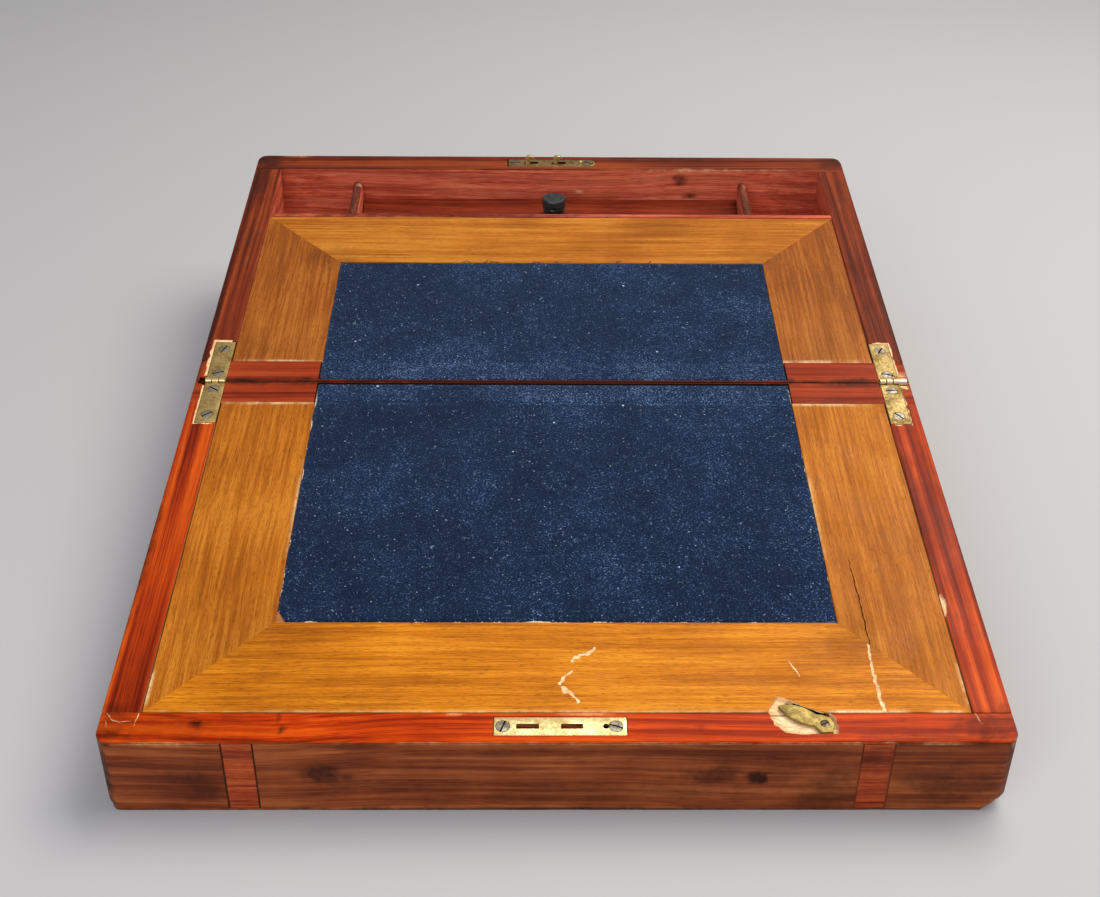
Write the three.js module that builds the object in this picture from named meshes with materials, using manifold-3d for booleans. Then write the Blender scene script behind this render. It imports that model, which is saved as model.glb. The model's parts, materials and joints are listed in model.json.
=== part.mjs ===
// A folding wooden writing slope, laid open: the lid lies in front of the base and the two rims make one
// long slope. Millimetres, +Z up, X to the right, Y away from the writer. The origin is on the table, in
// the middle of the open slope, straight under the hinge line.
import * as THREE from 'three';
import { mergeVertices } from 'three/addons/utils/BufferGeometryUtils.js';
import Module from 'manifold-3d';

const wasm = await Module();
wasm.setup();

// ---------------------------------------------------------------- driving dimensions
const WIDTH = 350; // left to right
const HALF_DEPTH = 220; // front to back of each half, and of the closed box
const FRONT_HEIGHT = 37; // rim above the table at the lid's lock side
const BACK_HEIGHT = 90; // rim above the table at the base's lock side

const SIDE_WALL = 15;
const LID_LOCK_WALL = 14;
const BASE_LOCK_WALL = 16;
const HINGE_WALL = 16;
const BOARD = 6; // bottom of the base and top of the lid
const BASE_CORNER = 6; // plan radius at the base's lock-side corners
const LID_CORNER = 5;
const LID_EDGE = 4.5; // rounding along the long outer edges of the lid

const GLUE_GAP = 0.3; // between pieces that are glued or pinned together
const RIM_DROP = 0.15; // rim below the hinge line, so that the closed rims keep a glue gap
const HALF_GAP = 0.3; // each half stops this far short of the hinge line

const TROUGH = 49; // pen trough, front to back
const PARTITION = 3.3;
const INK_BAY_DEPTH = 50; // trough floor below the rim, at the trough's front
const TROUGH_FLOOR = 4;
const DIVIDER = 5.5;
const DIVIDER_DROP = 7.6; // divider tops below the rim
const LEFT_INK_BAY = 42.5;
const RIGHT_INK_BAY = 42.5;
const TRAY_DROP = 18.3; // pen tray's back edge below the rim
const TRAY_EDGE = 13; // height of the tray's long sides
const TRAY_SCOOP = 8;
const TRAY_LIP = 2;
const TRAY_PLAY = 0.5;
const CLEAT = 5;

const FLAP = 6; // thickness of each writing flap
const FLAP_DROP = 0.5; // flap's top below the hinge line
const FLAP_PLAY = 0.5; // round each flap
const SEAM = 0.3; // between a flap and its hinge-side wall
const LEDGE = 6; // ledge that a flap lies on, square
const VELVET = 0.9;
const VELVET_DROP = 0.3; // velvet's pile top below the hinge line
const VELVET_BORDER_SIDE = 44.5; // bare wood between the velvet and the flap's edges
const VELVET_BORDER_BASE = 46;
const VELVET_BORDER_LID = 46.5;
const VELVET_START = 1.6; // from the hinge line

const LEAF_WIDTH = 9.7;
const LEAF_LENGTH = 32;
const LEAF = 1.5;
const PIN_RADIUS = 0.65;
const PIN_CLEARANCE = 0.2;
const KNUCKLE_RADIUS = 1.6;
const KNUCKLE_GAP = 0.3;
const RIGHT_BARREL_INSET = 1.4; // the right hinge's barrel runs on, to this far from the outside
const HINGE_SCREW_NEAR = 6.4; // from the pin
const HINGE_SCREW_FAR = 26;
const CUT_CLEARANCE = 0.3; // round metal let into wood

const SCREW_HEAD_RADIUS = 2.7;
const SCREW_SHANK_RADIUS = 1.2;
const SCREW_LENGTH = 9;
const SCREW_CLEARANCE = 0.25;
const SCREW_SLOT = 0.7;
const SCREW_SLOT_DEPTH = 0.6;
const SCREW_HEAD_RIM = 0.3; // straight part of the head, above its cone

const LOCK_INSET = 7.4; // middle of the lock and strike plates, from the outer face
const LOCK_CENTRE = 1.1;
const LOCK_LENGTH = 52.2;
const LOCK_WIDTH = 8.4;
const STRIKE_CENTRE = 0.7;
const STRIKE_LENGTH = 50.8;
const STRIKE_WIDTH = 8.8;
const PLATE = 1.5;
const LOCK_SCREWS = [-20.8, 22.7];
const STRIKE_SCREWS = [-21.2, 22];
const STUD_X = 18.2; // locating stud on the lock plate
const STUD_RADIUS = 1.1;
const STUD_HEIGHT = 1.35; // above its plate
const STUD_CLEARANCE = 0.4;
const HOOKS = [-14.8, 1.8]; // left edges of the two hooks
const HOOK_WIDTH = 5.2;
const HOOK_STEM = 3;
const HOOK_HEIGHT = 4.8;
const HOOK_NOSE_UNDER = 2.1;
const BOLT = 1.8; // thickness of the hook bolt
const BOLT_TRAVEL = 4;
const BOLT_BAR = 6; // height of the bar that joins the hooks
const BOLT_BAR_DROP = 3; // bar's top below the case's top
const SLOT_CLEARANCE = 0.5; // round the hooks, in the plate's slots
const STRIKE_SLOTS = [[-16.1, -7.4], [1, 9.4]];
const CASE_LENGTH = 36;
const CASE_WIDTH = 8;
const CASE_DEPTH = 24;
const CASE_WALL = 1;
const KEYHOLE_DROP = 15; // keyhole below the hinge plane
const KEYHOLE_RADIUS = 2;
const KEYHOLE_SLOT = [2, 7]; // width, and reach below the round part
const ESCUTCHEON = [12, 20, 1.2]; // width, height, thickness

const LATCH_SIDE_INSET = 73; // pivot from the right outer face
const LATCH_INSET = 8.9; // pivot from the front outer face
const LATCH_REACH = 18.9;
const LATCH_HALF_WIDTH = 3.6;
const LATCH_HEAD = 4.4;
const LATCH = 1.4;
const LATCH_DROP = 0.2; // latch top below the rim
const LATCH_ANGLE = 26.7; // from the rim's direction, as it holds the flap down
const LATCH_CLEARANCE = 1.3;
const LATCH_ROOT = 0.6; // where the blade starts, as a share of the head's radius
const LATCH_HEAD_SHAPE = [[0.3, -4.5], [4.2, -2.3], [3.4, 1.4], [0.9, 3.8], [-2.1, 3.8], [-3.6, 2.6], [-3.3, -2.5]]; // filed by eye, lopsided
const LATCH_SCREW_SIZE = 0.62; // beside the other screws
const LATCH_BOW = [0.72, 1.5, 0.75]; // where the blade is widest, and its fullness there and at the root

const BAND_WIDTH = 12.4; // inlaid bands
const BAND_INSET = 53.3; // centre from each side
const BAND = 1;
const BAND_TOP = 1.2; // wood left above a face band
const BAND_GAP = 0.15; // at each side of a band

const BOTTLE_X = 2;
const BOTTLE_RADIUS = 12;
const BOTTLE_SHOULDER = 32;
const BOTTLE_HEIGHT = 43.5;
const NECK_RADIUS = 5.8;
const NECK_BORE = 3.8;
const GLASS = 2.2;
const CAP_RADIUS = 7;
const CAP_HEIGHT = 5.4;
const BOTTLE_PLAY = 1.2; // between the bottle and its hole in the tray
const BOTTLE_FLOOR = 3.2;
const SHOULDER_RISE = 6;
const PLUG_LENGTH = 6; // the part of the stopper inside the neck
const PLUG_CLEARANCE = 0.3;
const CAP_TAPER = 0.9;
const CAP_EDGE = [0.8, 1]; // bevel round the cap's top, inwards and down

// ---------------------------------------------------------------- derived places
const HINGE_HEIGHT = (FRONT_HEIGHT + BACK_HEIGHT) / 2;
const RISE = (BACK_HEIGHT - FRONT_HEIGHT) / (2 * HALF_DEPTH);
const TILT = Math.atan(RISE);
const HALF_WIDTH = WIDTH / 2;
const INNER_X = HALF_WIDTH - SIDE_WALL;
const LID_INNER_Y = HALF_DEPTH - LID_LOCK_WALL;
const BASE_INNER_Y = HALF_DEPTH - BASE_LOCK_WALL;
const TROUGH_FRONT = BASE_INNER_Y - TROUGH;
const PARTITION_FRONT = TROUGH_FRONT - PARTITION;
const TALL = BACK_HEIGHT + 40; // taller than everything, for cutting tools
const PAST = 5; // how far a cutting tool runs on past what it cuts
const slopeAt = (y, below = 0) => HINGE_HEIGHT + y * RISE - below / Math.cos(TILT);
const alongSlope = (y) => y / Math.cos(TILT); // a level distance, measured along the slope
const TROUGH_FLOOR_TOP = slopeAt(TROUGH_FRONT, RIM_DROP) - INK_BAY_DEPTH;
const LOCK_LINE = HALF_DEPTH - LOCK_INSET;

// ---------------------------------------------------------------- colours
const finish = {
  rim: [0xa8431f, 0.38, 0],
  walnut: [0x6b3522, 0.42, 0],
  flap: [0xb87a3c, 0.45, 0],
  trough: [0x8a3a24, 0.55, 0],
  plainWood: [0x9c6b42, 0.7, 0],
  band: [0x9a4526, 0.42, 0],
  velvet: [0x24365e, 1, 0],
  brass: [0xb39a5a, 0.42, 1],
  steel: [0x8d8a86, 0.45, 1],
  iron: [0x4a4744, 0.6, 1],
  glass: [0x1b2622, 0.12, 0],
  stopper: [0x22262a, 0.5, 0],
};

function material(name) {
  const [color, roughness, metalness] = finish[name];
  return new THREE.MeshStandardMaterial({ color, roughness, metalness });
}

// ---------------------------------------------------------------- solids
function solid(geometry) {
  const bare = geometry.clone();
  bare.deleteAttribute('normal');
  bare.deleteAttribute('uv');
  const merged = mergeVertices(bare, 1e-4);
  const vertProperties = Float32Array.from(merged.attributes.position.array);
  const triVerts = Uint32Array.from(merged.index.array);
  return new wasm.Manifold(new wasm.Mesh({ numProp: 3, vertProperties, triVerts }));
}

function geometryOf(body) {
  const { vertProperties, triVerts } = body.getMesh();
  const geometry = new THREE.BufferGeometry();
  geometry.setAttribute('position', new THREE.BufferAttribute(Float32Array.from(vertProperties), 3));
  geometry.setIndex(new THREE.BufferAttribute(Uint32Array.from(triVerts), 1));
  const flat = geometry.toNonIndexed();
  flat.computeVertexNormals();
  return flat;
}

const cut = (body, ...tools) => tools.reduce((left, tool) => left.subtract(tool), body);
const join = (first, ...others) => others.reduce((left, other) => left.add(other), first);

function box([x0, x1], [y0, y1], [z0, z1]) {
  const geometry = new THREE.BoxGeometry(x1 - x0, y1 - y0, z1 - z0);
  return solid(geometry.translate((x0 + x1) / 2, (y0 + y1) / 2, (z0 + z1) / 2));
}

const outline = (points) => new THREE.Shape(points.map(([a, b]) => new THREE.Vector2(a, b)));

function extrude(shape, depth, curveSegments = 6) {
  return new THREE.ExtrudeGeometry(shape, { depth, bevelEnabled: false, curveSegments });
}

// a section in Y and Z, run along X; the points may go round either way
function alongX(points, [x0, x1]) {
  const turn = new THREE.Matrix4().makeBasis(
    new THREE.Vector3(0, 1, 0), new THREE.Vector3(0, 0, 1), new THREE.Vector3(1, 0, 0));
  return solid(extrude(outline(points), x1 - x0).applyMatrix4(turn).translate(x0, 0, 0));
}

// a section in X and Z, run along Y
function alongY(shape, [y0, y1]) {
  return solid(extrude(shape, y1 - y0).rotateX(Math.PI / 2).translate(0, y1, 0));
}

function upright(shape, [z0, z1], curveSegments) {
  return solid(extrude(shape, z1 - z0, curveSegments).translate(0, 0, z0));
}

// a round solid about Z from its half section, given from the bottom up
function turned(profile, segments = 12) {
  const points = profile.map(([r, h]) => new THREE.Vector2(r, h));
  return solid(new THREE.LatheGeometry(points, segments).rotateX(Math.PI / 2));
}

function rod(radius, [z0, z1], segments = 12) {
  return turned([[0, z0], [radius, z0], [radius, z1], [0, z1]], segments);
}

const rodAlongX = (radius, range) => rod(radius, range).rotate([0, 90, 0]);

// from the slope's own frame, whose origin is on the hinge line, to the object's frame
const TILT_DEGREES = THREE.MathUtils.radToDeg(TILT);
const toObject = (body) => body.rotate([TILT_DEGREES, 0, 0]).translate([0, 0, HINGE_HEIGHT]);

const mirrored = (range, side) => (side > 0 ? range : [-range[1], -range[0]]);
const sides = [['left', -1], ['right', 1]];

// ---------------------------------------------------------------- the object
const object = new THREE.Group();
const slope = new THREE.Group();
slope.position.z = HINGE_HEIGHT;
slope.rotation.x = TILT;
object.add(slope);

function place(group, name, body, finishName) {
  const mesh = new THREE.Mesh(geometryOf(body), material(finishName));
  mesh.name = name;
  group.add(mesh);
}

// ---------------------------------------------------------------- metal, in the slope's frame
// the hinge side of each leaf is v = 0; half is +1 for the base and -1 for the lid
const leafInner = INNER_X + GLUE_GAP;
const leafRange = [leafInner, leafInner + LEAF_WIDTH];
const knuckle = (LEAF_WIDTH - 2 * KNUCKLE_GAP) / 3;
const barrelEnd = (side) => (side > 0 ? HALF_WIDTH - RIGHT_BARREL_INSET : leafRange[1]);
const surface = -RIM_DROP; // top of everything that is flush with the rim

// X ranges of the three knuckles of one hinge, on its own side, inner one first
function knuckleRanges(side) {
  const step = knuckle + KNUCKLE_GAP;
  const starts = [0, 1, 2].map((i) => leafRange[0] + i * step);
  return starts.map((start, i) => [start, i === 2 ? barrelEnd(side) : start + knuckle]);
}

function screwBody(grow = 0, slotted = false, size = 1) {
  const head = SCREW_HEAD_RADIUS * size + grow;
  const shank = SCREW_SHANK_RADIUS * size + grow;
  const end = -SCREW_LENGTH * size - grow;
  const top = grow ? PAST : 0;
  const cone = -SCREW_HEAD_RIM - head + shank;
  const body = turned([[0, end], [shank, end], [shank, cone], [head, -SCREW_HEAD_RIM], [head, top], [0, top]]);
  const slotSide = (SCREW_SLOT * size) / 2;
  const slot = box([-head - 1, head + 1], [-slotSide, slotSide], [-SCREW_SLOT_DEPTH * size, 1]);
  return slotted ? cut(body, slot) : body;
}

function leafBody(side, half) {
  const own = knuckleRanges(side).filter((_, i) => (half > 0) === (i !== 1));
  const start = KNUCKLE_RADIUS + KNUCKLE_GAP;
  let leaf = box(mirrored(leafRange, side), mirrored([start, LEAF_LENGTH], half), [surface - LEAF, surface]);
  for (const range of own) {
    const tongue = [range[0], Math.min(range[1], leafRange[1])];
    const reach = mirrored([HALF_GAP, start + 1], half);
    leaf = join(leaf, box(mirrored(tongue, side), reach, [surface - LEAF, surface]),
      rodAlongX(KNUCKLE_RADIUS, mirrored(range, side)));
  }
  const bore = rodAlongX(PIN_RADIUS + PIN_CLEARANCE, mirrored([leafRange[0] - 1, barrelEnd(side) + 1], side));
  return cut(leaf, bore, ...screwHoles(screwPlaces(side, half)));
}

const screwHoles = (places, size = 1) => places.map((at) => screwBody(SCREW_CLEARANCE, false, size).translate(at));

function screwPlaces(side, half) {
  const x = side * (leafRange[0] + leafRange[1]) / 2;
  return [HINGE_SCREW_NEAR, HINGE_SCREW_FAR].map((v) => [x, half * v, surface]);
}

// what one half's walls lose to one hinge: the leaf's bed, the barrel's notch and the screws' holes
function hingeCuts(side, half) {
  const bedX = [INNER_X - 1, leafRange[1] + CUT_CLEARANCE];
  const bed = box(mirrored(bedX, side), mirrored([-1, LEAF_LENGTH + CUT_CLEARANCE], half),
    [surface - LEAF - CUT_CLEARANCE, PAST]);
  const notchX = mirrored([bedX[0], barrelEnd(side) + CUT_CLEARANCE], side);
  const notch = rodAlongX(KNUCKLE_RADIUS + CUT_CLEARANCE, notchX);
  return [bed, notch, ...screwHoles(screwPlaces(side, half))];
}

// ---------------------------------------------------------------- lock, in the slope's frame
const lockV = alongSlope(LOCK_LINE);
const plateEnd = LOCK_WIDTH / 2;
const caseRange = [LOCK_CENTRE - CASE_LENGTH / 2, LOCK_CENTRE + CASE_LENGTH / 2];
const caseTop = surface - PLATE - GLUE_GAP;
const keyholeZ = slopeAt(LOCK_LINE, KEYHOLE_DROP);
const slotWidth = BOLT + 2 * CUT_CLEARANCE;
const slotCut = [-PAST, PAST]; // through a plate, top to bottom
const hookSlots = HOOKS.map((x) => [x - SLOT_CLEARANCE, x + HOOK_STEM + BOLT_TRAVEL + SLOT_CLEARANCE]);
const lockScrewPlaces = LOCK_SCREWS.map((x) => [x, 0, surface]);
const strikeScrewPlaces = STRIKE_SCREWS.map((x) => [x, 0, surface]);

// squared at the left, rounded at the right
function lockOutline(grow = 0) {
  const left = LOCK_CENTRE - LOCK_LENGTH / 2 - 2 * grow;
  const right = LOCK_CENTRE + LOCK_LENGTH / 2 - plateEnd;
  const half = plateEnd + grow;
  const shape = new THREE.Shape();
  shape.moveTo(left, -half);
  shape.lineTo(right, -half);
  shape.absarc(right, 0, half, -Math.PI / 2, Math.PI / 2, false);
  shape.lineTo(left, half);
  return shape;
}

function lockPlate() {
  const plate = upright(lockOutline(), [surface - PLATE, surface]);
  const slots = hookSlots.map((range) => box(range, [-slotWidth / 2, slotWidth / 2], slotCut));
  const stud = rod(STUD_RADIUS, [surface - PLATE, surface + STUD_HEIGHT]).translate([STUD_X, 0, 0]);
  return join(cut(plate, ...slots, ...screwHoles(lockScrewPlaces)), stud).translate([0, lockV, 0]);
}

// the case stands upright in the wall while its plate follows the slope; grow widens it for the mortise
function caseBlock(wall, grow = 0) {
  const [y0, y1] = [LOCK_LINE - CASE_WIDTH / 2 + wall - grow, LOCK_LINE + CASE_WIDTH / 2 - wall + grow];
  const bottom = slopeAt(LOCK_LINE, CASE_DEPTH - caseTop) + wall - grow;
  const open = wall || grow ? -PAST : -caseTop;
  const section = [[y0, bottom], [y1, bottom], [y1, slopeAt(y1, open)], [y0, slopeAt(y0, open)]];
  return alongX(section, [caseRange[0] + wall - grow, caseRange[1] - wall + grow]);
}

// a level keyhole from the middle of the case out through the wall
function keyhole() {
  const run = [LOCK_LINE, HALF_DEPTH + PAST];
  const [width, drop] = KEYHOLE_SLOT;
  const slot = box([-width / 2, width / 2], run, [-drop, 0]);
  return join(rod(KEYHOLE_RADIUS, run).rotate([-90, 0, 0]), slot).translate([LOCK_CENTRE, 0, keyholeZ]);
}

const lockCase = () => cut(caseBlock(0), caseBlock(CASE_WALL), keyhole());

function hookBolt() {
  const barTop = caseTop - BOLT_BAR_DROP;
  const bar = [barTop - BOLT_BAR, barTop];
  const crownFoot = HOOK_NOSE_UNDER + 0.6;
  const plate = (points) => {
    const standing = extrude(outline(points), BOLT).rotateX(Math.PI / 2);
    return solid(standing.translate(0, BOLT / 2, 0));
  };
  const left = HOOKS[0];
  const right = HOOKS[1] + HOOK_STEM + BOLT_TRAVEL;
  const hooks = HOOKS.map((x) => {
    const crown = new THREE.EllipseCurve(HOOK_WIDTH / 2, crownFoot, HOOK_WIDTH / 2, HOOK_HEIGHT - crownFoot,
      0, Math.PI);
    const dome = crown.getPoints(8).map((p) => [x + p.x, p.y]);
    return plate([[x, bar[0]], [x + HOOK_STEM, bar[0]], [x + HOOK_STEM, HOOK_NOSE_UNDER],
      [x + HOOK_WIDTH, HOOK_NOSE_UNDER], ...dome]);
  });
  const bolt = join(plate([[left, bar[0]], [right, bar[0]], [right, bar[1]], [left, bar[1]]]), ...hooks);
  return bolt.translate([0, lockV, 0]);
}

const strikeV = -lockV;

function strikePlate() {
  const half = STRIKE_WIDTH / 2;
  const plate = box([STRIKE_CENTRE - STRIKE_LENGTH / 2, STRIKE_CENTRE + STRIKE_LENGTH / 2], [-half, half],
    [surface - PLATE, surface]);
  const slots = STRIKE_SLOTS.map((range) => box(range, [-slotWidth / 2, slotWidth / 2], slotCut));
  const hole = rod(STUD_RADIUS + STUD_CLEARANCE, slotCut).translate([STUD_X, 0, 0]);
  return cut(plate, ...slots, ...screwHoles(strikeScrewPlaces), hole).translate([0, strikeV, 0]);
}

// beds for the plates, and the mortises behind them
function lockCuts() {
  const grow = CUT_CLEARANCE;
  const bed = upright(lockOutline(grow), [surface - PLATE - grow, PAST]);
  const tools = [bed, ...screwHoles(lockScrewPlaces)];
  const inSlope = tools.map((tool) => toObject(tool.translate([0, lockV, 0])));
  return [...inSlope, caseBlock(0, grow), keyhole()];
}

function strikeCuts() {
  const grow = CUT_CLEARANCE;
  const half = STRIKE_WIDTH / 2 + grow;
  const reach = STRIKE_LENGTH / 2 + grow;
  const bedX = [STRIKE_CENTRE - reach, STRIKE_CENTRE + reach];
  const bed = box(bedX, [-half, half], [surface - PLATE - grow, PAST]);
  const mortise = box([STRIKE_SLOTS[0][0] - 1, STRIKE_SLOTS[1][1] + BOLT_TRAVEL], [-slotWidth, slotWidth],
    [-HOOK_HEIGHT - 1.5, PAST]);
  const stud = rod(STUD_RADIUS + STUD_CLEARANCE, [-PLATE - STUD_HEIGHT - 1, PAST]).translate([STUD_X, 0, 0]);
  const tools = [bed, mortise, stud, ...screwHoles(strikeScrewPlaces)];
  return tools.map((tool) => tool.translate([0, strikeV, 0]));
}

// ---------------------------------------------------------------- latch, in the slope's frame
const latchPlace = [HALF_WIDTH - LATCH_SIDE_INSET, -alongSlope(HALF_DEPTH - LATCH_INSET), 0];

// a pointed oval blade along -X from a lopsided head; grow widens it all round, for the recess, and rounds its head
function latchBody([z0, z1], grow = 0) {
  const bow = LATCH_HALF_WIDTH + grow;
  const root = LATCH_HEAD * LATCH_ROOT;
  const tip = LATCH_REACH + grow;
  const [wideAt, fullest, neck] = LATCH_BOW;
  const blade = new THREE.Shape();
  blade.moveTo(-root, -bow * neck);
  blade.quadraticCurveTo(-tip * wideAt, -bow * fullest, -tip, 0);
  blade.quadraticCurveTo(-tip * wideAt, bow * fullest, -root, bow * neck);
  const head = new THREE.Shape(LATCH_HEAD_SHAPE.map(([x, y]) => new THREE.Vector2(x, y)));
  return join(upright(blade, [z0, z1], 5), grow ? rod(LATCH_HEAD + grow, [z0, z1], 24) : upright(head, [z0, z1], 1));
}

const latchAt = (body, angle) => body.rotate([0, 0, -LATCH_ANGLE + angle]).translate(latchPlace);
const latchTop = surface - LATCH_DROP;
const latchScrewPlace = [latchPlace[0], latchPlace[1], latchTop];

function latch() {
  const blade = latchAt(latchBody([latchTop - LATCH, latchTop]), 0);
  return cut(blade, ...screwHoles([latchScrewPlace], LATCH_SCREW_SIZE));
}

// the shallow recess that the latch lies and turns in
function latchRecess() {
  const turns = [0, 1, 2, 3].map((i) => (i / 3) * LATCH_ANGLE);
  const sunk = [latchTop - LATCH - GLUE_GAP, PAST];
  const bodies = turns.map((angle) => latchAt(latchBody(sunk, LATCH_CLEARANCE), angle));
  return join(...bodies);
}

// ---------------------------------------------------------------- walls
// plan outline of one half, with its lock-side corners rounded
function planOutline(half, radius) {
  const x = HALF_WIDTH;
  const shape = new THREE.Shape();
  shape.moveTo(-x, HALF_GAP);
  shape.lineTo(x, HALF_GAP);
  shape.lineTo(x, HALF_DEPTH - radius);
  shape.absarc(x - radius, HALF_DEPTH - radius, radius, 0, Math.PI / 2, false);
  shape.absarc(-x + radius, HALF_DEPTH - radius, radius, Math.PI / 2, Math.PI, false);
  const body = upright(shape, [-1, TALL], 4);
  return half > 0 ? body : body.rotate([0, 0, 180]);
}

// end view of the lid, with its long outer edges rounded
function lidEndView() {
  const x = HALF_WIDTH;
  const shape = new THREE.Shape();
  shape.moveTo(-x + LID_EDGE, 0);
  shape.lineTo(x - LID_EDGE, 0);
  shape.absarc(x - LID_EDGE, LID_EDGE, LID_EDGE, -Math.PI / 2, 0, false);
  shape.lineTo(x, TALL);
  shape.lineTo(-x, TALL);
  shape.absarc(-x + LID_EDGE, LID_EDGE, LID_EDGE, Math.PI, 1.5 * Math.PI, false);
  return alongY(shape, [-HALF_DEPTH - 1, 1]);
}

// an upright board from the table to the rim, between two distances from the hinge line
function wall(xRange, [near, far], half) {
  const [y0, y1] = mirrored([near, far], half);
  return alongX([[y0, 0], [y1, 0], [y1, slopeAt(y1, RIM_DROP)], [y0, slopeAt(y0, RIM_DROP)]], xRange);
}

const strip = [VELVET_START, HINGE_WALL];
const velvetEdge = INNER_X - FLAP_PLAY - VELVET_BORDER_SIDE;
const velvetX = [-velvetEdge, velvetEdge];
const velvetFloor = -VELVET_DROP - VELVET - GLUE_GAP;

// where the velvet strip lies on the hinge-side wall
const velvetBedX = [velvetX[0] - GLUE_GAP, velvetX[1] + GLUE_GAP];
const stripCut = (half) => toObject(box(velvetBedX,
  mirrored([alongSlope(strip[0]) - GLUE_GAP, alongSlope(strip[1]) + PAST], half), [velvetFloor, PAST]));

const bandX = HALF_WIDTH - BAND_INSET;
const bandBed = BAND + GLUE_GAP; // depth of the groove that a band lies in
const faceBandZ = (height) => [BAND + 2 * GLUE_GAP, height - BAND_TOP];
const lidBandY = [-HALF_DEPTH + LID_EDGE, -HALF_GAP];

function bandRange(side, grow = 0) {
  const reach = BAND_WIDTH / 2 + grow;
  return [side * bandX - reach, side * bandX + reach];
}

// a band across a half's lock-side face, or with grow the groove that it lies in
function faceBand(side, half, height, grow) {
  const [z0, z1] = faceBandZ(height);
  const depth = grow ? [HALF_DEPTH - bandBed, HALF_DEPTH + PAST] : [HALF_DEPTH - BAND, HALF_DEPTH];
  return box(bandRange(side, grow), mirrored(depth, half), [z0 - grow, z1 + grow]);
}

function topBand(side, grow = 0) {
  const y = [lidBandY[0] - grow, lidBandY[1] + (grow ? PAST : 0)];
  const sunk = GLUE_GAP / 2; // its face stays clear of the table
  return box(bandRange(side, grow), y, grow ? [-PAST, bandBed] : [sunk, sunk + BAND]);
}

const bothSides = (make) => sides.map(([, side]) => make(side));
const hingeCutsOf = (half) => sides.flatMap(([, side]) => hingeCuts(side, half)).map(toObject);

function baseWalls() {
  const plan = planOutline(1, BASE_CORNER);
  const full = [-HALF_WIDTH, HALF_WIDTH];
  const backHeight = slopeAt(HALF_DEPTH, RIM_DROP);
  const back = wall(full, [BASE_INNER_Y, HALF_DEPTH], 1).intersect(plan);
  const escutcheonBed = escutcheonSolid(CUT_CLEARANCE);
  place(object, 'base_back_wall', cut(back, ...lockCuts(), escutcheonBed,
    ...bothSides((side) => faceBand(side, 1, backHeight, BAND_GAP))), 'walnut');
  const hingeWall = wall(full, [HALF_GAP, HINGE_WALL], 1);
  place(object, 'base_hinge_wall', cut(hingeWall, stripCut(1), ...hingeCutsOf(1)), 'rim');
  for (const [name, side] of sides) {
    const x = mirrored([INNER_X, HALF_WIDTH], side);
    const board = wall(x, [HINGE_WALL + GLUE_GAP, BASE_INNER_Y - GLUE_GAP], 1);
    place(object, `base_${name}_wall`, cut(board, ...hingeCuts(side, 1).map(toObject)), 'rim');
    place(object, `base_back_band_${name}`, faceBand(side, 1, backHeight, 0), 'band');
  }
}

function lidWalls() {
  const shell = planOutline(-1, LID_CORNER).intersect(lidEndView());
  const full = [-HALF_WIDTH, HALF_WIDTH];
  const frontHeight = slopeAt(-HALF_DEPTH, RIM_DROP);
  const topCuts = bothSides((side) => topBand(side, BAND_GAP));
  const front = wall(full, [LID_INNER_Y, HALF_DEPTH], -1).intersect(shell);
  place(object, 'lid_front_wall', cut(front, ...strikeCuts().map(toObject), toObject(latchRecess()),
    ...screwHoles([latchScrewPlace], LATCH_SCREW_SIZE).map(toObject), ...topCuts,
    ...bothSides((side) => faceBand(side, -1, frontHeight, BAND_GAP))), 'walnut');
  const hingeWall = wall(full, [HALF_GAP, HINGE_WALL], -1).intersect(shell);
  place(object, 'lid_hinge_wall', cut(hingeWall, stripCut(-1), ...hingeCutsOf(-1), ...topCuts), 'rim');
  for (const [name, side] of sides) {
    const x = mirrored([INNER_X, HALF_WIDTH], side);
    const board = wall(x, [HINGE_WALL + GLUE_GAP, LID_INNER_Y - GLUE_GAP], -1).intersect(shell);
    place(object, `lid_${name}_wall`, cut(board, ...hingeCuts(side, -1).map(toObject)), 'rim');
    place(object, `lid_front_band_${name}`, faceBand(side, -1, frontHeight, 0), 'band');
    place(object, `lid_top_band_${name}`, topBand(side), 'band');
  }
  const boardX = [-INNER_X + GLUE_GAP, INNER_X - GLUE_GAP];
  const boardY = [-LID_INNER_Y + GLUE_GAP, -HINGE_WALL - GLUE_GAP];
  place(object, 'lid_top_board', cut(box(boardX, boardY, [0, BOARD]), ...topCuts), 'walnut');
}

// oval brass plate let in flush round the keyhole
function escutcheonSolid(grow = 0) {
  const [width, height, thickness] = ESCUTCHEON;
  const shape = new THREE.Shape();
  shape.absellipse(0, 0, width / 2 + grow, height / 2 + grow, 0, 2 * Math.PI, false);
  const front = grow ? PAST : 0;
  const plate = solid(extrude(shape, thickness + grow + front).rotateX(Math.PI / 2));
  return plate.translate([LOCK_CENTRE, HALF_DEPTH + front, keyholeZ - KEYHOLE_RADIUS]);
}

// ---------------------------------------------------------------- inside the base
const bayLeft = -INNER_X + LEFT_INK_BAY;
const bayRight = INNER_X - RIGHT_INK_BAY;
const dividerRanges = { left: [bayLeft, bayLeft + DIVIDER], right: [bayRight - DIVIDER, bayRight] };
const trayX = [dividerRanges.left[1] + TRAY_PLAY, dividerRanges.right[0] - TRAY_PLAY];
const trayY = [TROUGH_FRONT + TRAY_PLAY, BASE_INNER_Y - TRAY_PLAY];
const trayTop = slopeAt(BASE_INNER_Y, RIM_DROP) - TRAY_DROP;
const trayBottom = trayTop - TRAY_EDGE;
const bottlePlace = [BOTTLE_X, (TROUGH_FRONT + BASE_INNER_Y) / 2, TROUGH_FLOOR_TOP + GLUE_GAP];

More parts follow.
